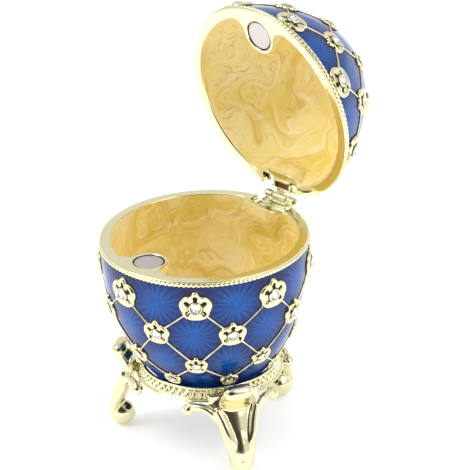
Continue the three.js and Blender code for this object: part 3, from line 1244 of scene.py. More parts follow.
    def cut(self, piece: bpy.types.Object, tool: Surface) -> None:
        """Cuts a closed surface out of a piece.

        Args:
            piece: The piece.
            tool: What is cut away.
        """
        cutter = tool.make("cutter", self.place)
        boolean = piece.modifiers.new("cut", "BOOLEAN")
        boolean.operation = "DIFFERENCE"
        boolean.solver = "EXACT"
        boolean.object = cutter
        settled(piece, 40.0)
        bpy.data.objects.remove(cutter)

    def build_enamels(self, finishes: Finishes, blue: bpy.types.Material) -> None:
        """Builds the blue skin outside and the pearl lining inside.

        Formula: the skin's rows lie at top + (length - top) * sin(s), for s from 0 to a
        quarter turn. Its UV map counts flowers around and rows down.

        Args:
            finishes: Every finish.
            blue: This half's blue enamel.
        """
        rim = self.rim
        columns = self.columns
        angle = np.linspace(0, 2 * math.pi, columns + 1)
        x, y = rim.outer * np.cos(angle), rim.outer * np.sin(angle)
        pocket = (y > 0) & (np.abs(x) < rim.pocket_half + 0.2)
        top = np.where(pocket, rim.pocket_deep + 0.1, rim.rope_foot - 0.1)
        share = np.sin(np.linspace(0, math.pi / 2, 74))[:-1]
        depth = top + (self.length - top) * share[:, None]
        skin = np.stack([self.radius(depth), self.radius(depth) - self.skin])
        skin = np.maximum(skin, 0.01)
        rows = np.concatenate([skin[0][::-1], skin[1]])
        down = np.concatenate([depth[::-1], depth])
        points = np.stack([rows * np.cos(angle), rows * np.sin(angle), -down], axis=-1)
        shift = np.interp(down, [row.depth for row in self.rows],
                          [math.radians(row.shift) for row in self.rows])
        around = (angle + math.pi / 2 - self.turn - shift) / FLOWER_STEP
        around = around - self.rows[0].stagger + FLOWERS_IN_ROW
        uv = np.stack([around, self.row_number(down)], axis=-1)
        surface = Surface()
        surface.add_grid(points[None, :, :-1], uv=uv[None])
        outside = surface.make(self.body.value + "_blue_enamel", self.place)
        dress(outside, blue, self.body)
        depths = self.inner_length * np.sin(np.linspace(math.pi / 2, 0.0, 54))[1:]
        depths = np.concatenate([depths[depths > 0.6], [0.5, rim.face + rim.soft_edge]])
        seen = self.inner_wall(self.skin, depths)
        behind = self.inner_wall(0.02, depths)[::-1]
        lining = Surface()
        lining.add_grid(np.concatenate([seen, behind])[None])
        inside = lining.make(self.body.value + "_pearl_enamel", self.place)
        dress(inside, finishes.pearl[self.body], self.body)

    def row_number(self, depth: np.ndarray) -> np.ndarray:
        """Counts rows down from the first flowers, also between rows and past them.

        Args:
            depth: Depths below the rim.

        Returns:
            The count at each depth, which is whole at a row of flowers.
        """
        at = [row.depth for row in self.rows]
        step = at[1] - at[0]
        marks = [at[0] - 2 * step, *at, self.length]
        return np.interp(depth, marks, [-2, *range(len(at)), len(at)])

    # -------- rope, trellis, flowers and stones

    def build_rope(self, finishes: Finishes) -> None:
        """Builds the twisted rope, which stops at the hinge's pocket.

        Formula: a tube along the rim whose radius is widened by the cosine of its section's
        angle less the twist, three strands in all. Its ends are rounded by a square root.

        Args:
            finishes: Every finish.
        """
        rim = self.rim
        strands, twists, lay = 3, 46, 0.14
        steps, sides, blunt = 1100, 15, 60
        thick = (rim.rope_foot - rim.rope_top) / 2 + 0.03
        gap = math.asin((rim.pocket_half + 0.1) / rim.outer)
        along = np.linspace(math.pi / 2 + gap, 2.5 * math.pi - gap, steps)
        around = np.linspace(0, 2 * math.pi, sides, endpoint=False)
        lobe = np.cos(strands * (around - twists * along[:, None]))
        from_end = np.minimum(along - along[0], along[-1] - along)
        taper = np.sqrt(np.clip(from_end * blunt, 0.02, 1))
        section = thick * (1 - lay + lay * lobe) * taper[:, None]
        out = rim.rope_out - thick + section * np.cos(around)
        height = -(rim.rope_top + rim.rope_foot) / 2 + section * np.sin(around)
        surface = Surface()
        # Painted shade: the recess value darkens the crevices between the rope's strands.
        surface.add_grid(np.stack([
            out * np.cos(along)[:, None], out * np.sin(along)[:, None], height,
        ], axis=-1)[None], value=np.clip(-lobe, 0, 1)[None] * 0.3)
        rope = surface.make(self.body.value + "_rope_edge", self.place, 80)
        dress(rope, finishes.chased, self.body)

    def build_trellis(self, finishes: Finishes) -> None:
        """Builds the wires that join each flower to its two nearest in the next row.

        Formula: between two flowers both the angle and the depth change evenly, and the wire
        lies on the egg there, widest where it leaves a flower.

        Args:
            finishes: Every finish.
        """
        steps, columns = 26, 12
        slim, flare, lift = 0.72, 0.5, 0.06
        uneven, waves = 0.16, 19
        share = np.linspace(0, 1, steps)
        ends = []
        for upper, lower in zip(self.rows, self.rows[1:]):
            start = self.azimuths(upper)
            slip = math.radians(lower.shift - upper.shift)
            for way in (-0.5, 0.5):
                finish = start + way * FLOWER_STEP + slip
                ends.append((start, finish, upper.depth, lower.depth))
        if self.crown_across:
            last = self.rows[-1]
            start = self.azimuths(last)
            ends.append((start, start, last.depth, self.length - 0.4))
        surface = Surface()
        for start, finish, high, low in ends:
            azimuth = start[:, None] + (finish - start)[:, None] * share
            depth = np.broadcast_to(high + (low - high) * share, azimuth.shape)
            spot, axes = self.frames(azimuth, depth)
            side = np.cross(unit(np.gradient(spot, axis=1)), axes[..., 2, :])
            width = self.wire_half[0] * (slim + flare * (2 * share - 1) ** 2)
            ripple = 1 + uneven * np.sin(share * waves + start[:, None] * 7)
            half = np.stack([width * ripple, np.full_like(ripple, self.wire_half[1])], axis=-1)
            # Painted shade: the wires' flanks, where they meet the enamel, take the dark recess
            # colour as contour lines.
            flank = np.abs(np.cos(2 * math.pi * np.arange(columns) / columns))
            patina_shade_wash = smooth_step(flank, 0.72, 1.0) * 0.55
            value = np.broadcast_to(patina_shade_wash, (*half.shape[:2], columns))
            surface.add_grid(tubes(spot + axes[..., 2, :] * lift, side, half, columns), value)
        wires = surface.make(self.body.value + "_trellis_wires", self.place, 80)
        dress(wires, finishes.chased, self.body)

    def spots(self) -> tuple[np.ndarray, np.ndarray, np.ndarray]:
        """Finds every flower of the half.

        Returns:
            The flowers' middles, their axes and their radii.
        """
        found = []
        for row in self.rows:
            middles, axes = self.frames(self.azimuths(row), row.depth)
            found.append((middles, axes, np.full(FLOWERS_IN_ROW, row.across / 2)))
        if self.crown_across:
            axes = np.array([[[1.0, 0, 0], [0, -1.0, 0], [0, 0, -1.0]]])
            found.append((np.array([[0, 0, -self.length]]), axes,
                          np.array([self.crown_across / 2])))
        return tuple(np.concatenate(part) for part in zip(*found))

    def build_flowers(self, finishes: Finishes) -> None:
        """Builds the rosettes, with shallow pits that have painted shade for their piercing, bent
        to the wall and kept below the rope.

        Args:
            finishes: Every finish.
        """
        spot, axes, radius = self.spots()
        shape, recess = Rosette().grid()
        local = shape[None] * np.stack(
            [radius, radius, np.sqrt(radius / radius.max())], axis=-1)[:, None, None]
        bend = (local[..., 0] ** 2 + local[..., 1] ** 2) / (2 * self.rim.outer)
        local[..., 2] -= bend
        points = spot[:, None, None] + np.einsum("nrck,nkj->nrcj", local, axes)
        points[..., 2] = np.minimum(points[..., 2], 0.2 - self.rim.rope_foot)
        surface = Surface()
        surface.add_grid(points, value=np.broadcast_to(recess, points.shape[:3]))
        flowers = surface.make(self.body.value + "_rosettes", self.place, 60)
        dress(flowers, finishes.chased, self.body)

    def build_stones(self, finishes: Finishes) -> None:
        """Builds the cut stones and the bright foil cups below them.

        Args:
            finishes: Every finish.
        """
        spot, axes, radius = self.spots()
        size = radius * self.stone_share
        for name, shape, material, slot, nodes in (
            ("crystals", Brilliant().grid(), finishes.crystal, Slot.CRYSTAL, self.stones),
            ("stone_foils", Brilliant().foil(), finishes.foil, None, ()),
        ):
            local = shape[None] * size[:, None, None, None]
            local[..., 2] += (Rosette().seat * np.sqrt(radius / radius.max()))[:, None, None]
            points = spot[:, None, None] + np.einsum("nrck,nkj->nrcj", local, axes)
            surface = Surface()
            surface.add_grid(points)
            piece = surface.make(f"{self.body.value}_{name}", self.place, 5)
            dress(piece, material, self.body, nodes)

    def build_magnet(self, finishes: Finishes) -> None:
        """Builds the catch magnet with a bevelled edge.

        Args:
            finishes: Every finish.
        """
        rim = self.rim
        top, foot = -rim.magnet_sunk, -rim.magnet_sunk - rim.magnet_thick
        full = rim.magnet_radius
        surface = Surface()
        surface.add_grid(lathe([
            (full - 0.3, foot), (full, foot + 0.3), (full, top - 0.16),
            (full - 0.05, top - 0.05), (full - 0.16, top), (full * 0.5, top), (0.2, top),
        ], 72) + [0, -rim.magnet_out, 0])
        node = "bowl_magnet" if self.body is Body.BASE else "lid_magnet"
        magnet = surface.make(self.body.value + "_catch_magnet", self.place)
        dress(magnet, finishes.nickel, self.body, (node,))

    def build(self, finishes: Finishes, blue: bpy.types.Material) -> None:
        """Builds the whole half.

        Args:
            finishes: Every finish.
            blue: This half's blue enamel.
        """
        self.build_casting(finishes)
        self.build_enamels(finishes, blue)
        self.build_rope(finishes)
        self.build_trellis(finishes)
        self.build_flowers(finishes)
        self.build_stones(finishes)
        self.build_magnet(finishes)


@dataclass(frozen=True)
class Rosette:
    """A flower with a raised border, five pits with painted shade, a collet and a tip towards the
    rim.

    Sizes across are shares of the flower's half width, and heights are in millimetres above
    the wall. Angles are in degrees from the tip.
    """

    outline: tuple[tuple[float, float], ...] = (
        (0, 1.07), (8, 1.04), (16, 0.90), (24, 0.84), (36, 0.93), (52, 1.0), (68, 1.03),
        (84, 1.01), (98, 0.94), (108, 0.90), (122, 0.95), (140, 0.95), (160, 0.89), (180, 0.85))
    pits: tuple[float, ...] = (0, 60, -60, 126, -126)
    pit_out: float = 0.59
    pit_half: float = 0.12
    pit_long: float = 1.35
    collet: float = 0.37
    collet_top: float = 0.95
    seat: float = 0.9
    cup: float = 0.3
    border: float = 0.78
    petal: float = 0.62
    pit_floor: float = 0.12
    edge: float = 0.3
    root: float = -0.7
    columns: int = 80

    def edge_curve(self) -> np.ndarray:
        """Runs a smooth closed curve through the outline's marks and their mirror images.

        Returns:
            Pairs of x and y, one for each column.
        """
        half = np.radians([mark[0] for mark in self.outline])
        out = np.array([mark[1] for mark in self.outline])
        turn = np.concatenate([half, 2 * math.pi - half[-2::-1]])
        out = np.concatenate([out, out[-2::-1]])
        marks = np.stack([out * np.sin(turn), out * np.cos(turn)], axis=-1)
        return spline(marks, self.columns + 1)[:-1]

    def grid(self) -> tuple[np.ndarray, np.ndarray]:
        """Works out the flower on a unit half width.

        Formula: round rings form the cup and the collet, and from the collet outwards the
        rings ease to the outline. The petals' height is a low plate with a bell-shaped
        border and a fine rib between petals, less a bell-shaped pit in each.

        Returns:
            Rows, columns and xyz, and the recess value of each point, which lays painted shade in
            the pits, round the collet and along the edge and foot.
        """
        curve = self.edge_curve()
        way = unit(curve)
        rings = np.array([0.04, 0.16, 0.28, 0.32, 0.345, self.collet, 0.40, 0.425])
        ring_height = np.array([self.cup, self.cup, self.cup, self.collet_top - 0.08,
                                self.collet_top, self.collet_top, self.collet_top - 0.12,
                                self.petal])
        # Painted shade in the cup and in the crevice round the collet.
        ring_value = np.array([0.2, 0.3, 0.3, 0.1, 0.0, 0.0, 0.3, 0.75])
        inner = way[None] * rings[:, None, None]
        share = np.linspace(0, 1, 17)[1:, None]
        outer = way[None] * rings[-1] * (1 - share[..., None]) + curve[None] * share[..., None]
        angle = np.radians(self.pits)
        middle = self.pit_out * np.stack([np.sin(angle), np.cos(angle)], axis=-1)
        off = outer[:, :, None] - middle
        radial = (off * unit(middle)).sum(-1) / self.pit_long
        across = np.abs(off[..., 0] * unit(middle)[:, 1] - off[..., 1] * unit(middle)[:, 0])
        pit = np.exp(-((np.hypot(radial, across) / self.pit_half) ** 4)).max(-1)
        roll_at, roll_wide = 0.74, 0.26
        rolled = np.exp(-(((share - roll_at) / roll_wide) ** 2))
        height = self.petal + (self.border - self.petal) * rolled
        height = height - (height - self.pit_floor) * pit
        height = height - (self.border - self.edge) * smooth_step(share, 0.88, 1.0)
        foot = np.concatenate([curve, np.full((len(curve), 1), self.root)], axis=-1)
        points = np.concatenate([
            np.concatenate([inner, np.repeat(ring_height[:, None, None], len(way), 1)], -1),
            np.concatenate([outer, height[..., None]], axis=-1),
            foot[None], foot[None] * [0.3, 0.3, 1],
        ])
        # Painted shade: the recess value darkens the pits, the groove by the collet, the flower's
        # outer edge and its foot, which draws a dark outline on the enamel.
        groove = 0.5 * np.exp(-((share / 0.16) ** 2))
        value = np.clip(pit * 1.2 + groove + smooth_step(share, 0.95, 1.0) * 0.6, 0, 1)
        value = np.concatenate([np.repeat(ring_value[:, None], len(way), 1), value,
                                np.ones((2, len(way)))])
        return points, value


@dataclass(frozen=True)
class Brilliant:
    """A round stone with a flat table, a faceted crown and a pointed back."""

    sides: int = 12

    def grid(self) -> np.ndarray:
        """Works out the stone on a unit radius: table, crown, girdle and back."""
        rings = ((0.5, 0.4, 0.0), (0.78, 0.26, 0.5), (1.0, 0.04, 0.0), (1.0, -0.03, 0.0),
                 (0.55, -0.27, 0.5), (0.04, -0.48, 0.0))
        return self._rings(rings)

    def foil(self) -> np.ndarray:
        """Works out the cup under the stone, a little larger than the stone's back."""
        rings = ((0.05, -0.53, 0.0), (0.58, -0.32, 0.5), (1.06, 0.0, 0.0), (1.08, -0.12, 0.0),
                 (0.6, -0.56, 0.0))
        return self._rings(rings)

    def _rings(self, rings: tuple[tuple[float, float, float], ...]) -> np.ndarray:
        """Places rings of corners, each with a radius, a height and a turn in steps."""
        step = np.arange(self.sides)
        return np.stack([
            np.stack([
                radius * np.cos(2 * math.pi * (step + shift) / self.sides),
                radius * np.sin(2 * math.pi * (step + shift) / self.sides),
                np.full(self.sides, height),
            ], axis=-1) for radius, height, shift in rings
        ])


# ------------------------------------------------------------------ the hinge


@dataclass(frozen=True)
class Hinge:
    """Two leaves with turned knuckles on one pin.

    Each ring of a pin's head has a share of the head's radius and its place past the outer
    knuckle.
    """

    barrel: float = 0.95
    pin: float = 0.46
    head: float = 0.85
    middle: float = 1.9
    inner: float = 2.2
    outer: float = 4.2
    leaf_half: float = 4.2
    leaf_from: float = 18.9
    leaf_to: float = 22.2
    leaf_drop: float = 0.95
    leaf_thick: float = 0.7
    short_plate: float = 1.3
    plate_edge: float = 0.12
    knuckle_edge: float = 0.14
    window_past: float = 0.5
    window_from: float = 0.9
    bar: float = 0.42
    bar_up: float = 0.45
    bar_edge: float = 0.1
    ledge_out: float = 0.7
    ledge_low: float = 1.2
    ledge_high: float = 0.25
    ledge_edge: float = 0.15
    boss_out: float = 19.85
    boss_half: tuple[float, float, float] = (2.7, 0.95, 0.5)
    head_rings: tuple[tuple[float, float], ...] = ((0.8, 0.1), (1.0, 0.22), (0.5, 0.55))

    def barrel_grid(self, start: float, end: float) -> np.ndarray:
        """Turns a knuckle with bevelled ends about the pin's line.

        Args:
            start: Where it starts along X.
            end: Where it ends.

        Returns:
            One copy of a grid.
        """
        edge = self.knuckle_edge
        profile = np.array([
            (self.pin, start), (self.barrel - edge, start), (self.barrel, start + edge),
            (self.barrel, end - edge), (self.barrel - edge, end), (self.pin, end),
        ])
        return self._lay(lathe(profile, 40))

    @staticmethod
    def _lay(grid: np.ndarray) -> np.ndarray:
        """Lays an upright turned shape along X on the pin's line."""
        x, y, z = np.moveaxis(grid, -1, 0)
        return np.stack([z, x + HINGE_OUT, y], axis=-1)

    def leaf(self, spans: tuple[tuple[float, float], ...], window: bool) -> Surface:
        """Builds a leaf: a plate, its lugs and its knuckles.

        Args:
            spans: Each knuckle's start and end along X.
            window: Whether a framed window stands on the plate. Otherwise the plate is
                short, with a ledge under the barrel and a low boss.

        Returns:
            The leaf's surface.
        """
        top, out = -self.leaf_drop, self.leaf_to
        surface = Surface()
        start = self.leaf_from if window else out - self.short_plate
        surface.add_grid(rounded_block(
            (-self.leaf_half, start, top - self.leaf_thick), (self.leaf_half, out, top),
            self.plate_edge))
        if window:
            self.add_window(surface)
        else:
            self.add_ledge(surface)
        for start, end in spans:
            surface.add_grid(rounded_block(
                (start, out - 0.3, top - self.leaf_thick),
                (end, HINGE_OUT + 0.1, top + 0.25), self.bar_edge))
            surface.add_grid(self.barrel_grid(start, end))
        return surface

    def add_window(self, surface: Surface) -> None:
        """Adds a pane with a painted shadow and reflection, and the four raised bars that frame it.

        Args:
            surface: The leaf so far.
        """
        top, bar, half = -self.leaf_drop, self.bar, self.middle + self.window_past
        near, far = self.leaf_from + self.window_from, self.leaf_to - 0.1
        pane = rounded_block((bar - half, near + bar, top - 0.1),
                             (half - bar, far - bar, top + 0.04), 0.02)
        # The pane's full recess value gives it the hinge's brown colour: a painted shadow and
        # reflection.
        surface.add_grid(pane, np.ones(pane.shape[:3]))
        for low, high in (
            ((-half, near), (half, near + bar)),
            ((-half, far - bar), (half, far)),
            ((-half, near), (bar - half, far)),
            ((half - bar, near), (half, far)),
        ):
            surface.add_grid(rounded_block((*low, top - 0.1), (*high, top + self.bar_up),
                                           self.bar_edge))

    def add_ledge(self, surface: Surface) -> None:
        """Adds the ledge that runs under the barrel, and the low boss that stands on it.

        Args:
            surface: The leaf so far.
        """
        surface.add_grid(rounded_block(
            (-self.leaf_half, self.leaf_from, -self.barrel - self.ledge_low),
            (self.leaf_half, HINGE_OUT + self.ledge_out, -self.barrel - self.ledge_high),
            self.ledge_edge))
        surface.add_grid(ball((0, self.boss_out, -self.leaf_drop - 0.3), self.boss_half))

    def build(self, finishes: Finishes) -> None:
        """Builds both leaves and the pin with its faceted heads.

        Args:
            finishes: Every finish.
        """
        base, lid = Place(Body.BASE), Place(Body.LID)
        spans = ((-self.outer, -self.inner), (self.inner, self.outer))
        lower = self.leaf(spans, False).make("lower_hinge_leaf", base)
        dress(lower, finishes.hinge, Body.BASE, ("bowl_hinge_leaf",))
        upper = self.leaf(((-self.middle, self.middle),), True).make("upper_hinge_leaf", lid)
        dress(upper, finishes.hinge, Body.LID, ("lid_hinge_leaf",))
        pin = Surface()
        end = self.outer + self.head_rings[0][1]
        pin.add_grid(self._lay(lathe([(self.pin, -end), (self.pin, end)], 24)))
        for way in (-1, 1):
            rings = [(self.head * share, way * (self.outer + past))
                     for share, past in self.head_rings]
            pin.add_grid(self._lay(lathe(rings, 8)))
        made = pin.make("hinge_pin_and_heads", base, 20)
        dress(made, finishes.hinge, Body.BASE, ("hinge_pin",))


# ------------------------------------------------------------------ the stand


@dataclass(frozen=True)
class Bar:
    """A bar of a leg: its route's knots, and its half width and half depth at each."""

    route: tuple[tuple[float, float, float], ...]
    half: tuple[tuple[float, float], ...]
    steps: int
    sides: int
    power: float = 2.0

    def grid(self, side: np.ndarray, way: int = 1) -> np.ndarray:
        """Carries the bar's section along its route.

        Args:
            side: The direction that its width keeps to.
            way: 1 as it stands, or -1 for its mirror image in y.

        Returns:
            One copy of a grid.
        """
        path = spline(np.array(self.route) * [1, way, 1], self.steps)[None]
        half = spline(np.array(self.half), self.steps)
        return tubes(path, side, half, self.sides, self.power)


@dataclass(frozen=True)
class Stand:
    """The gilt tripod: pierced band, scroll legs, volutes, arms and drops.

    Heights are above the table, so the surfaces are dropped by the seam's height.
    """

    turn: float = math.radians(93.15)
    band_top: float = 18.1
    band_foot: float = 14.9
    band_top_out: float = 15.0
    band_foot_out: float = 15.9
    band_in: float = 14.0
    scrolls: int = 30
    voxel: float = 0.23
    shank: Bar = Bar(
        ((15.9, 0, 17.4), (16.5, 0, 14.6), (18.0, 0, 11.4), (19.9, 0, 7.8), (21.3, 0, 4.6),
         (21.0, 0, 2.4)),
        ((5.8, 1.0), (5.6, 1.3), (4.7, 1.6), (3.7, 1.7), (2.9, 1.6), (2.4, 1.4)),
        steps=40, sides=40, power=1.55)
    web: Bar = Bar(
        ((15.7, 0, 17.2), (17.2, 0, 13.6), (19.0, 0, 9.8), (20.5, 0, 6.4), (21.2, 0, 4.0)),
        ((5.0, 0.8), (4.9, 1.6), (3.9, 1.6), (3.1, 1.5), (2.4, 1.2)),
        steps=30, sides=40, power=1.7)
    neck: Bar = Bar(
        ((16.6, 0, 14.2), (17.7, 0, 15.8), (19.4, 0, 18.3)),
        ((3.8, 1.9), (3.3, 1.8), (3.0, 1.5)), steps=16, sides=24)
    rib: Bar = Bar(
        ((18.2, 4.4, 14.6), (19.3, 3.4, 12.0), (20.6, 2.6, 9.2), (21.4, 1.8, 7.2),
         (21.6, 1.2, 5.4)),
        ((0.8, 0.7), (1.0, 0.8), (1.0, 0.75), (0.8, 0.5), (0.4, 0.3)), steps=26, sides=14)
    foot: tuple[float, float, float] = (20.1, 0.0, 2.85)
    foot_half: tuple[float, float, float] = (3.1, 2.7, 2.85)
    volute: tuple[float, float, float] = (19.6, 0.0, 18.7)
    volute_round: float = 1.7
    volute_wide: float = 3.2
    back_foot_out: float = 1.1
    back_foot_aside: float = 1.7
    drop_out: float = 16.9
    drop_up: float = 13.7
    drop_radius: float = 1.35
    drop_hang: float = 0.9
    drop_turn: float = math.radians(34)

    def band(self) -> np.ndarray:
        """Turns the band: a flared collar with a plain lip above and a thin one below.

        Returns:
            One copy of a grid, whose rows close on themselves.
        """
        low, high = self.band_foot, self.band_top
        profile = np.array([
            (self.band_in + 0.3, low), (self.band_foot_out - 0.1, low),
            (self.band_foot_out, low + 0.12), (self.band_foot_out, low + 0.4),
            (self.band_foot_out - 0.15, low + 0.52), (self.band_foot_out - 0.62, low + 0.7),
            (self.band_top_out - 0.42, high - 0.95), (self.band_top_out - 0.1, high - 0.72),
            (self.band_top_out, high - 0.6), (self.band_top_out, high - 0.12),
            (self.band_top_out - 0.12, high), (self.band_in + 0.1, high),
            (self.band_in + 0.02, high - 0.2),
        ])
        return lathe(profile, 240)

    def scroll_paths(self) -> np.ndarray:
        """Lays S-scrolls along the band.

        Formula: each scroll is two opposed spirals, joined in its middle. Their angle grows
        evenly towards the ends and their radius shrinks to that of the eye. Every second
        scroll is its neighbour's mirror image.

        Returns:
            Copies, steps and xyz.
        """
        eye, spread, sunk = 0.2, 0.62, 0.5
        share = np.linspace(-1, 1, 46)
        wind = np.abs(share)
        size = eye + spread * (1 - wind) ** 0.8
        angle = 3.5 * math.pi * wind
        across = np.sign(share) * (0.78 - size * np.cos(angle))
        upward = np.sign(share) * size * np.sin(angle) * 1.15
        azimuth = 2 * math.pi * np.arange(self.scrolls) / self.scrolls
        mirror = np.where(np.arange(self.scrolls) % 2 == 0, 1, -1)[:, None]
        height = (self.band_top + self.band_foot) / 2 - 0.1 + upward * mirror
        lean = (height - self.band_foot) / (self.band_top - self.band_foot)
        out = self.band_foot_out - sunk + (self.band_top_out - self.band_foot_out) * lean
        where = azimuth[:, None] + across / self.band_top_out
        return np.stack([out * np.cos(where), out * np.sin(where), height], axis=-1)

    def drop_spot(self) -> np.ndarray:
        """The middle of the leg's drop on the +Y side."""
        return np.array([self.drop_out * math.cos(self.drop_turn),
                         self.drop_out * math.sin(self.drop_turn), self.drop_up])

    def arm(self) -> Bar:
        """The arm that leaves the shank and curls up and round to the top of its drop."""
        x, y, up = self.drop_spot().tolist()
        return Bar(
            ((20.3, 2.0, 7.0), (19.3, 2.9, 9.8), (17.9, 4.3, 12.3), (16.4, 6.4, 14.4),
             (x, y, up + self.drop_hang)),
            ((0.6, 0.6), (0.85, 0.8), (1.0, 0.85), (0.95, 0.9), (0.8, 0.8)),
            steps=30, sides=18)

    def leg_surfaces(self) -> list[np.ndarray]:
        """Builds one leg, out along +X: web, volute, shank, neck, foot, arms, drops and ribs.

        Returns:
            A grid for each of them.
        """
        sideways = np.array([0.0, 1.0, 0.0])
        wide = np.linspace(-1, 1, 24)
        scroll = (np.array(self.volute) + np.outer(wide * self.volute_wide, sideways))[None]
        scroll_half = self.volute_round * np.sqrt(1.02 - wide**4)[:, None] * [1, 1]
        parts = [
            self.web.grid(sideways),
            tubes(scroll, np.array([1.0, 0, 0]), scroll_half, 24),
            self.shank.grid(sideways),
            self.neck.grid(sideways),
            ball(self.foot, self.foot_half),
        ]
        half_turn = self.drop_turn / 2
        for way in (-1, 1):
            outward = np.array([math.cos(half_turn), way * math.sin(half_turn), 0])
            drop = tuple(self.drop_spot() * [1, way, 1])
            parts.append(self.arm().grid(outward, way))
            parts.append(ball(drop, (self.drop_radius,) * 3, 14, 20))
            parts.append(self.rib.grid(sideways, way))
        return parts

    def build(self, finishes: Finishes) -> None:
        """Builds the stand's casting, blended as one, and its scrollwork.

        The back leg's foot stands a little further out and aside than the others'.

        Args:
            finishes: Every finish.
        """
        place = Place(Body.BASE)
        drop = np.array([0, 0, -SEAM_HEIGHT])
        surface = Surface()
        surface.add_grid(self.band() + drop, ring=True)
        for part in self.leg_surfaces():
            for k in range(3):
                angle = self.turn + 2 * math.pi * k / 3
                spin = np.array([[math.cos(angle), math.sin(angle), 0],
                                 [-math.sin(angle), math.cos(angle), 0], [0, 0, 1]])
                lean = np.clip(1 - part[..., 2:] / self.volute[2], 0, 1) * (k == 0)
                leant = part + lean * [self.back_foot_out, -self.back_foot_aside, 0]
                surface.add_grid(leant @ spin + drop)
        stand = surface.make("tripod_casting", place)
        remesh = stand.modifiers.new("blend", "REMESH")
        remesh.mode = "VOXEL"
        remesh.voxel_size = self.voxel * MM
        smooth = stand.modifiers.new("soften", "SMOOTH")
        smooth.factor = 0.5
        smooth.iterations = 7
        settled(stand, 60.0)
        self.flatten_feet(stand)
        self.mark_recess(stand)
        dress(stand, finishes.chased, Body.BASE, ("tripod_stand",))
        scrolls = Surface()
        paths = self.scroll_paths() + drop
        outward = unit(paths * [1, 1, 0])
        taper = 0.2 + 0.12 * np.cos(np.linspace(-math.pi / 2, math.pi / 2, paths.shape[1]))
        scrolls.add_grid(tubes(paths, outward, np.stack([taper, taper], axis=-1), 8))
        work = scrolls.make("band_scrollwork", place, 80)
        dress(work, finishes.gilt, Body.BASE)

    def flatten_feet(self, stand: bpy.types.Object) -> None:
        """Keeps the feet on the table, so that no corner lies below it.

        Args:
            stand: The blended casting.
        """
        mesh = stand.data
        spots = np.empty(len(mesh.vertices) * 3, np.float32)
        mesh.vertices.foreach_get("co", spots)
        spots = spots.reshape(-1, 3)
        spots[:, 2] = np.maximum(spots[:, 2], 0.02 * MM)
        mesh.vertices.foreach_set("co", spots.ravel())
        mesh.update()

    def mark_recess(self, stand: bpy.types.Object) -> None:
        """Gives the band's sunk ground its recess value, from each corner's place: a dark colour
        that is partly patina and partly painted shade.

        Args:
            stand: The blended casting.
        """
        shallow, deep, strength = 0.2, 0.55, 0.45
        mesh = stand.data
        spots = np.empty(len(mesh.vertices) * 3, np.float32)
        mesh.vertices.foreach_get("co", spots)
        x, y, z = spots.reshape(-1, 3).T / MM
        out = np.hypot(x, y)
        rise = np.clip((z - self.band_foot) / (self.band_top - self.band_foot), 0, 1)
        face = self.band_foot_out + (self.band_top_out - self.band_foot_out) * rise
        past_wall = smooth_step(out - self.band_in, 0.3, 0.5)
        sunk = smooth_step(face - out, shallow, deep) * past_wall
        inside = (z > self.band_foot + 0.3) & (z < self.band_top - 0.4)
        value = np.where(inside, sunk * strength, 0)
        recess = mesh.attributes.get("recess") or mesh.attributes.new("recess", "FLOAT", "POINT")
        recess.data.foreach_set("value", value.astype(np.float32))


# ------------------------------------------------------------------ the studio


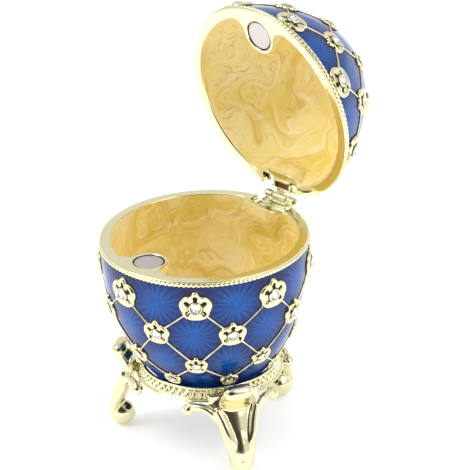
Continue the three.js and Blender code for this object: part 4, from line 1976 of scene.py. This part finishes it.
@dataclass(frozen=True)
class Studio:
    """A pale floor, soft light from all round, and the camera.

    The sky's two shares are added for rays that leave matt surfaces and for the view.
    """

    azimuth: float = math.radians(45.81)
    elevation: float = math.radians(26.34)
    roll: float = math.radians(-2.34)
    distance: float = 900.0
    lens: float = 324.3
    aim_right: float = 6.58
    aim_up: float = -0.47
    sky: float = 0.84
    sky_on_matt: float = 0.44
    sky_in_view: float = 0.2
    lamp_size: float = 0.5
    floor_half: float = 6.0
    floor_white: float = 0.94
    floor_glow: float = 0.24

    def axes(self) -> tuple[np.ndarray, np.ndarray, np.ndarray]:
        """Works out how the camera stands.

        Returns:
            Its right, up and back directions.
        """
        a, e = self.azimuth, self.elevation
        back = np.array([math.sin(a) * math.cos(e), -math.cos(a) * math.cos(e), math.sin(e)])
        level = np.array([math.cos(a), math.sin(a), 0.0])
        upright = np.cross(back, level)
        c, s = math.cos(self.roll), math.sin(self.roll)
        return level * c + upright * s, upright * c - level * s, back

    def build_camera(self) -> None:
        """Places the camera and makes it the scene's."""
        right, up, back = self.axes()
        level = np.array([math.cos(self.azimuth), math.sin(self.azimuth), 0.0])
        target = level * self.aim_right + [0, 0, self.aim_up + SEAM_HEIGHT]
        camera = bpy.data.objects.new("camera", bpy.data.cameras.new("camera"))
        bpy.context.scene.collection.objects.link(camera)
        camera.data.lens = self.lens
        camera.data.sensor_width = 36.0
        camera.data.clip_start, camera.data.clip_end = 0.05, 20.0
        matrix = np.eye(4)
        matrix[:3, 0], matrix[:3, 1], matrix[:3, 2] = right, up, back
        matrix[:3, 3] = (target + back * self.distance) * MM
        camera.matrix_world = Matrix(matrix.tolist())
        bpy.context.scene.camera = camera

    def build_world(self) -> None:
        """Lights the set from all round, darker where the camera stands."""
        world = bpy.data.worlds.new("studio")
        bpy.context.scene.world = world
        world.use_nodes = True
        w = Wiring(world.node_tree)
        shader = world.node_tree.nodes["Background"]
        coordinates = world.node_tree.nodes.new("ShaderNodeTexCoord")
        facing = world.node_tree.nodes.new("ShaderNodeVectorMath")
        facing.operation = "DOT_PRODUCT"
        w.feed(facing.inputs[0], coordinates.outputs["Generated"])
        facing.inputs[1].default_value = tuple(self.axes()[2])
        shade = w.ease(facing.outputs["Value"], 0.72, 0.97)
        lit = w.mix(shade, (1.0, 1.01, 1.02, 1), (0.07, 0.06, 0.05, 1))
        path = world.node_tree.nodes.new("ShaderNodeLightPath")
        w.feed(shader.inputs["Color"], w.mix(path.outputs["Is Camera Ray"], lit, (1, 1, 1, 1)))
        soft = w.math("MULTIPLY_ADD", path.outputs["Is Diffuse Ray"], self.sky_on_matt, self.sky)
        w.feed(shader.inputs["Strength"],
               w.math("MULTIPLY_ADD", path.outputs["Is Camera Ray"], self.sky_in_view, soft))

    def build_lights(self) -> None:
        """Adds a soft key light from the upper left and a fill from the right."""
        aim_height = 0.04
        for name, place, power in (
            ("key", (-0.35, -0.55, 0.75), 2.6),
            ("fill", (0.65, 0.1, 0.5), 1.2),
        ):
            light = bpy.data.lights.new(name, "AREA")
            light.size = self.lamp_size
            light.energy = power
            lamp = bpy.data.objects.new(name, light)
            bpy.context.scene.collection.objects.link(lamp)
            back = unit(np.array(place) - [0, 0, aim_height])
            side = unit(np.cross([0, 0, 1.0], back))
            matrix = np.eye(4)
            matrix[:3, 0], matrix[:3, 1], matrix[:3, 2] = side, np.cross(back, side), back
            matrix[:3, 3] = place
            lamp.matrix_world = Matrix(matrix.tolist())

    def build_floor(self) -> None:
        """Lays a plain white floor that reaches past the view."""
        half, white = self.floor_half, self.floor_white
        corners = [(-half, -half, 0), (half, -half, 0), (half, half, 0), (-half, half, 0)]
        mesh = bpy.data.meshes.new("floor")
        mesh.from_pydata(corners, [], [(0, 1, 2, 3)])
        floor = bpy.data.objects.new("floor", mesh)
        bpy.context.scene.collection.objects.link(floor)
        material, _, shader = new_material("floor_white")
        shader.inputs["Base Color"].default_value = (white, white, white, 1)
        shader.inputs["Roughness"].default_value = 0.9
        shader.inputs["Specular IOR Level"].default_value = 0.0
        shader.inputs["Emission Color"].default_value = (1, 1, 1, 1)
        shader.inputs["Emission Strength"].default_value = self.floor_glow
        mesh.materials.append(material)

    def build(self) -> None:
        """Builds the whole studio, with plain colours on screen."""
        self.build_camera()
        self.build_world()
        self.build_lights()
        self.build_floor()
        bpy.context.scene.view_settings.view_transform = "Standard"


# ------------------------------------------------------------------ the box


def stone_nodes(prefix: str) -> tuple[str, ...]:
    """Names the CAD nodes of a half's stones, in a fixed order."""
    return tuple(sorted(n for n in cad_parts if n.startswith(prefix)))


def bowl() -> EggHalf:
    """The lower half, with a fourth row of small flowers just above the stand."""
    return EggHalf(
        body=Body.BASE, node="egg_bowl", length=36.8, inner_length=34.6, power=2.1,
        rows=(Row(depth=6.1, across=7.2, stagger=0.0),
              Row(depth=13.7, across=6.2, stagger=0.5, shift=-2.2),
              Row(depth=21.9, across=5.0, stagger=0.0, shift=-2.4),
              Row(depth=27.0, across=4.0, stagger=0.5, shift=-1.5)),
        turn=math.radians(-5), stones=stone_nodes("bowl_crystal"),
    )


def lid() -> EggHalf:
    """The upper half, with a flower at its crown."""
    return EggHalf(
        body=Body.LID, node="egg_lid", length=23.2, inner_length=21.0, power=1.3,
        rows=(Row(depth=3.9, across=7.0, stagger=0.5),
              Row(depth=10.2, across=5.8, stagger=0.0),
              Row(depth=16.6, across=4.8, stagger=0.5)),
        turn=math.radians(3.5), stones=stone_nodes("lid_crystal"), crown_across=5.6,
    )


def main() -> None:
    """Builds the box in order and reports each piece."""
    logging.basicConfig(level=logging.INFO, format="%(name)s %(message)s")
    Studio().build()
    finishes = Finishes(Effects())
    bowl().build(finishes, finishes.blue_bowl)
    lid().build(finishes, finishes.blue_lid)
    Hinge().build(finishes)
    Stand().build(finishes)


if __name__ == "__main__":
    main()
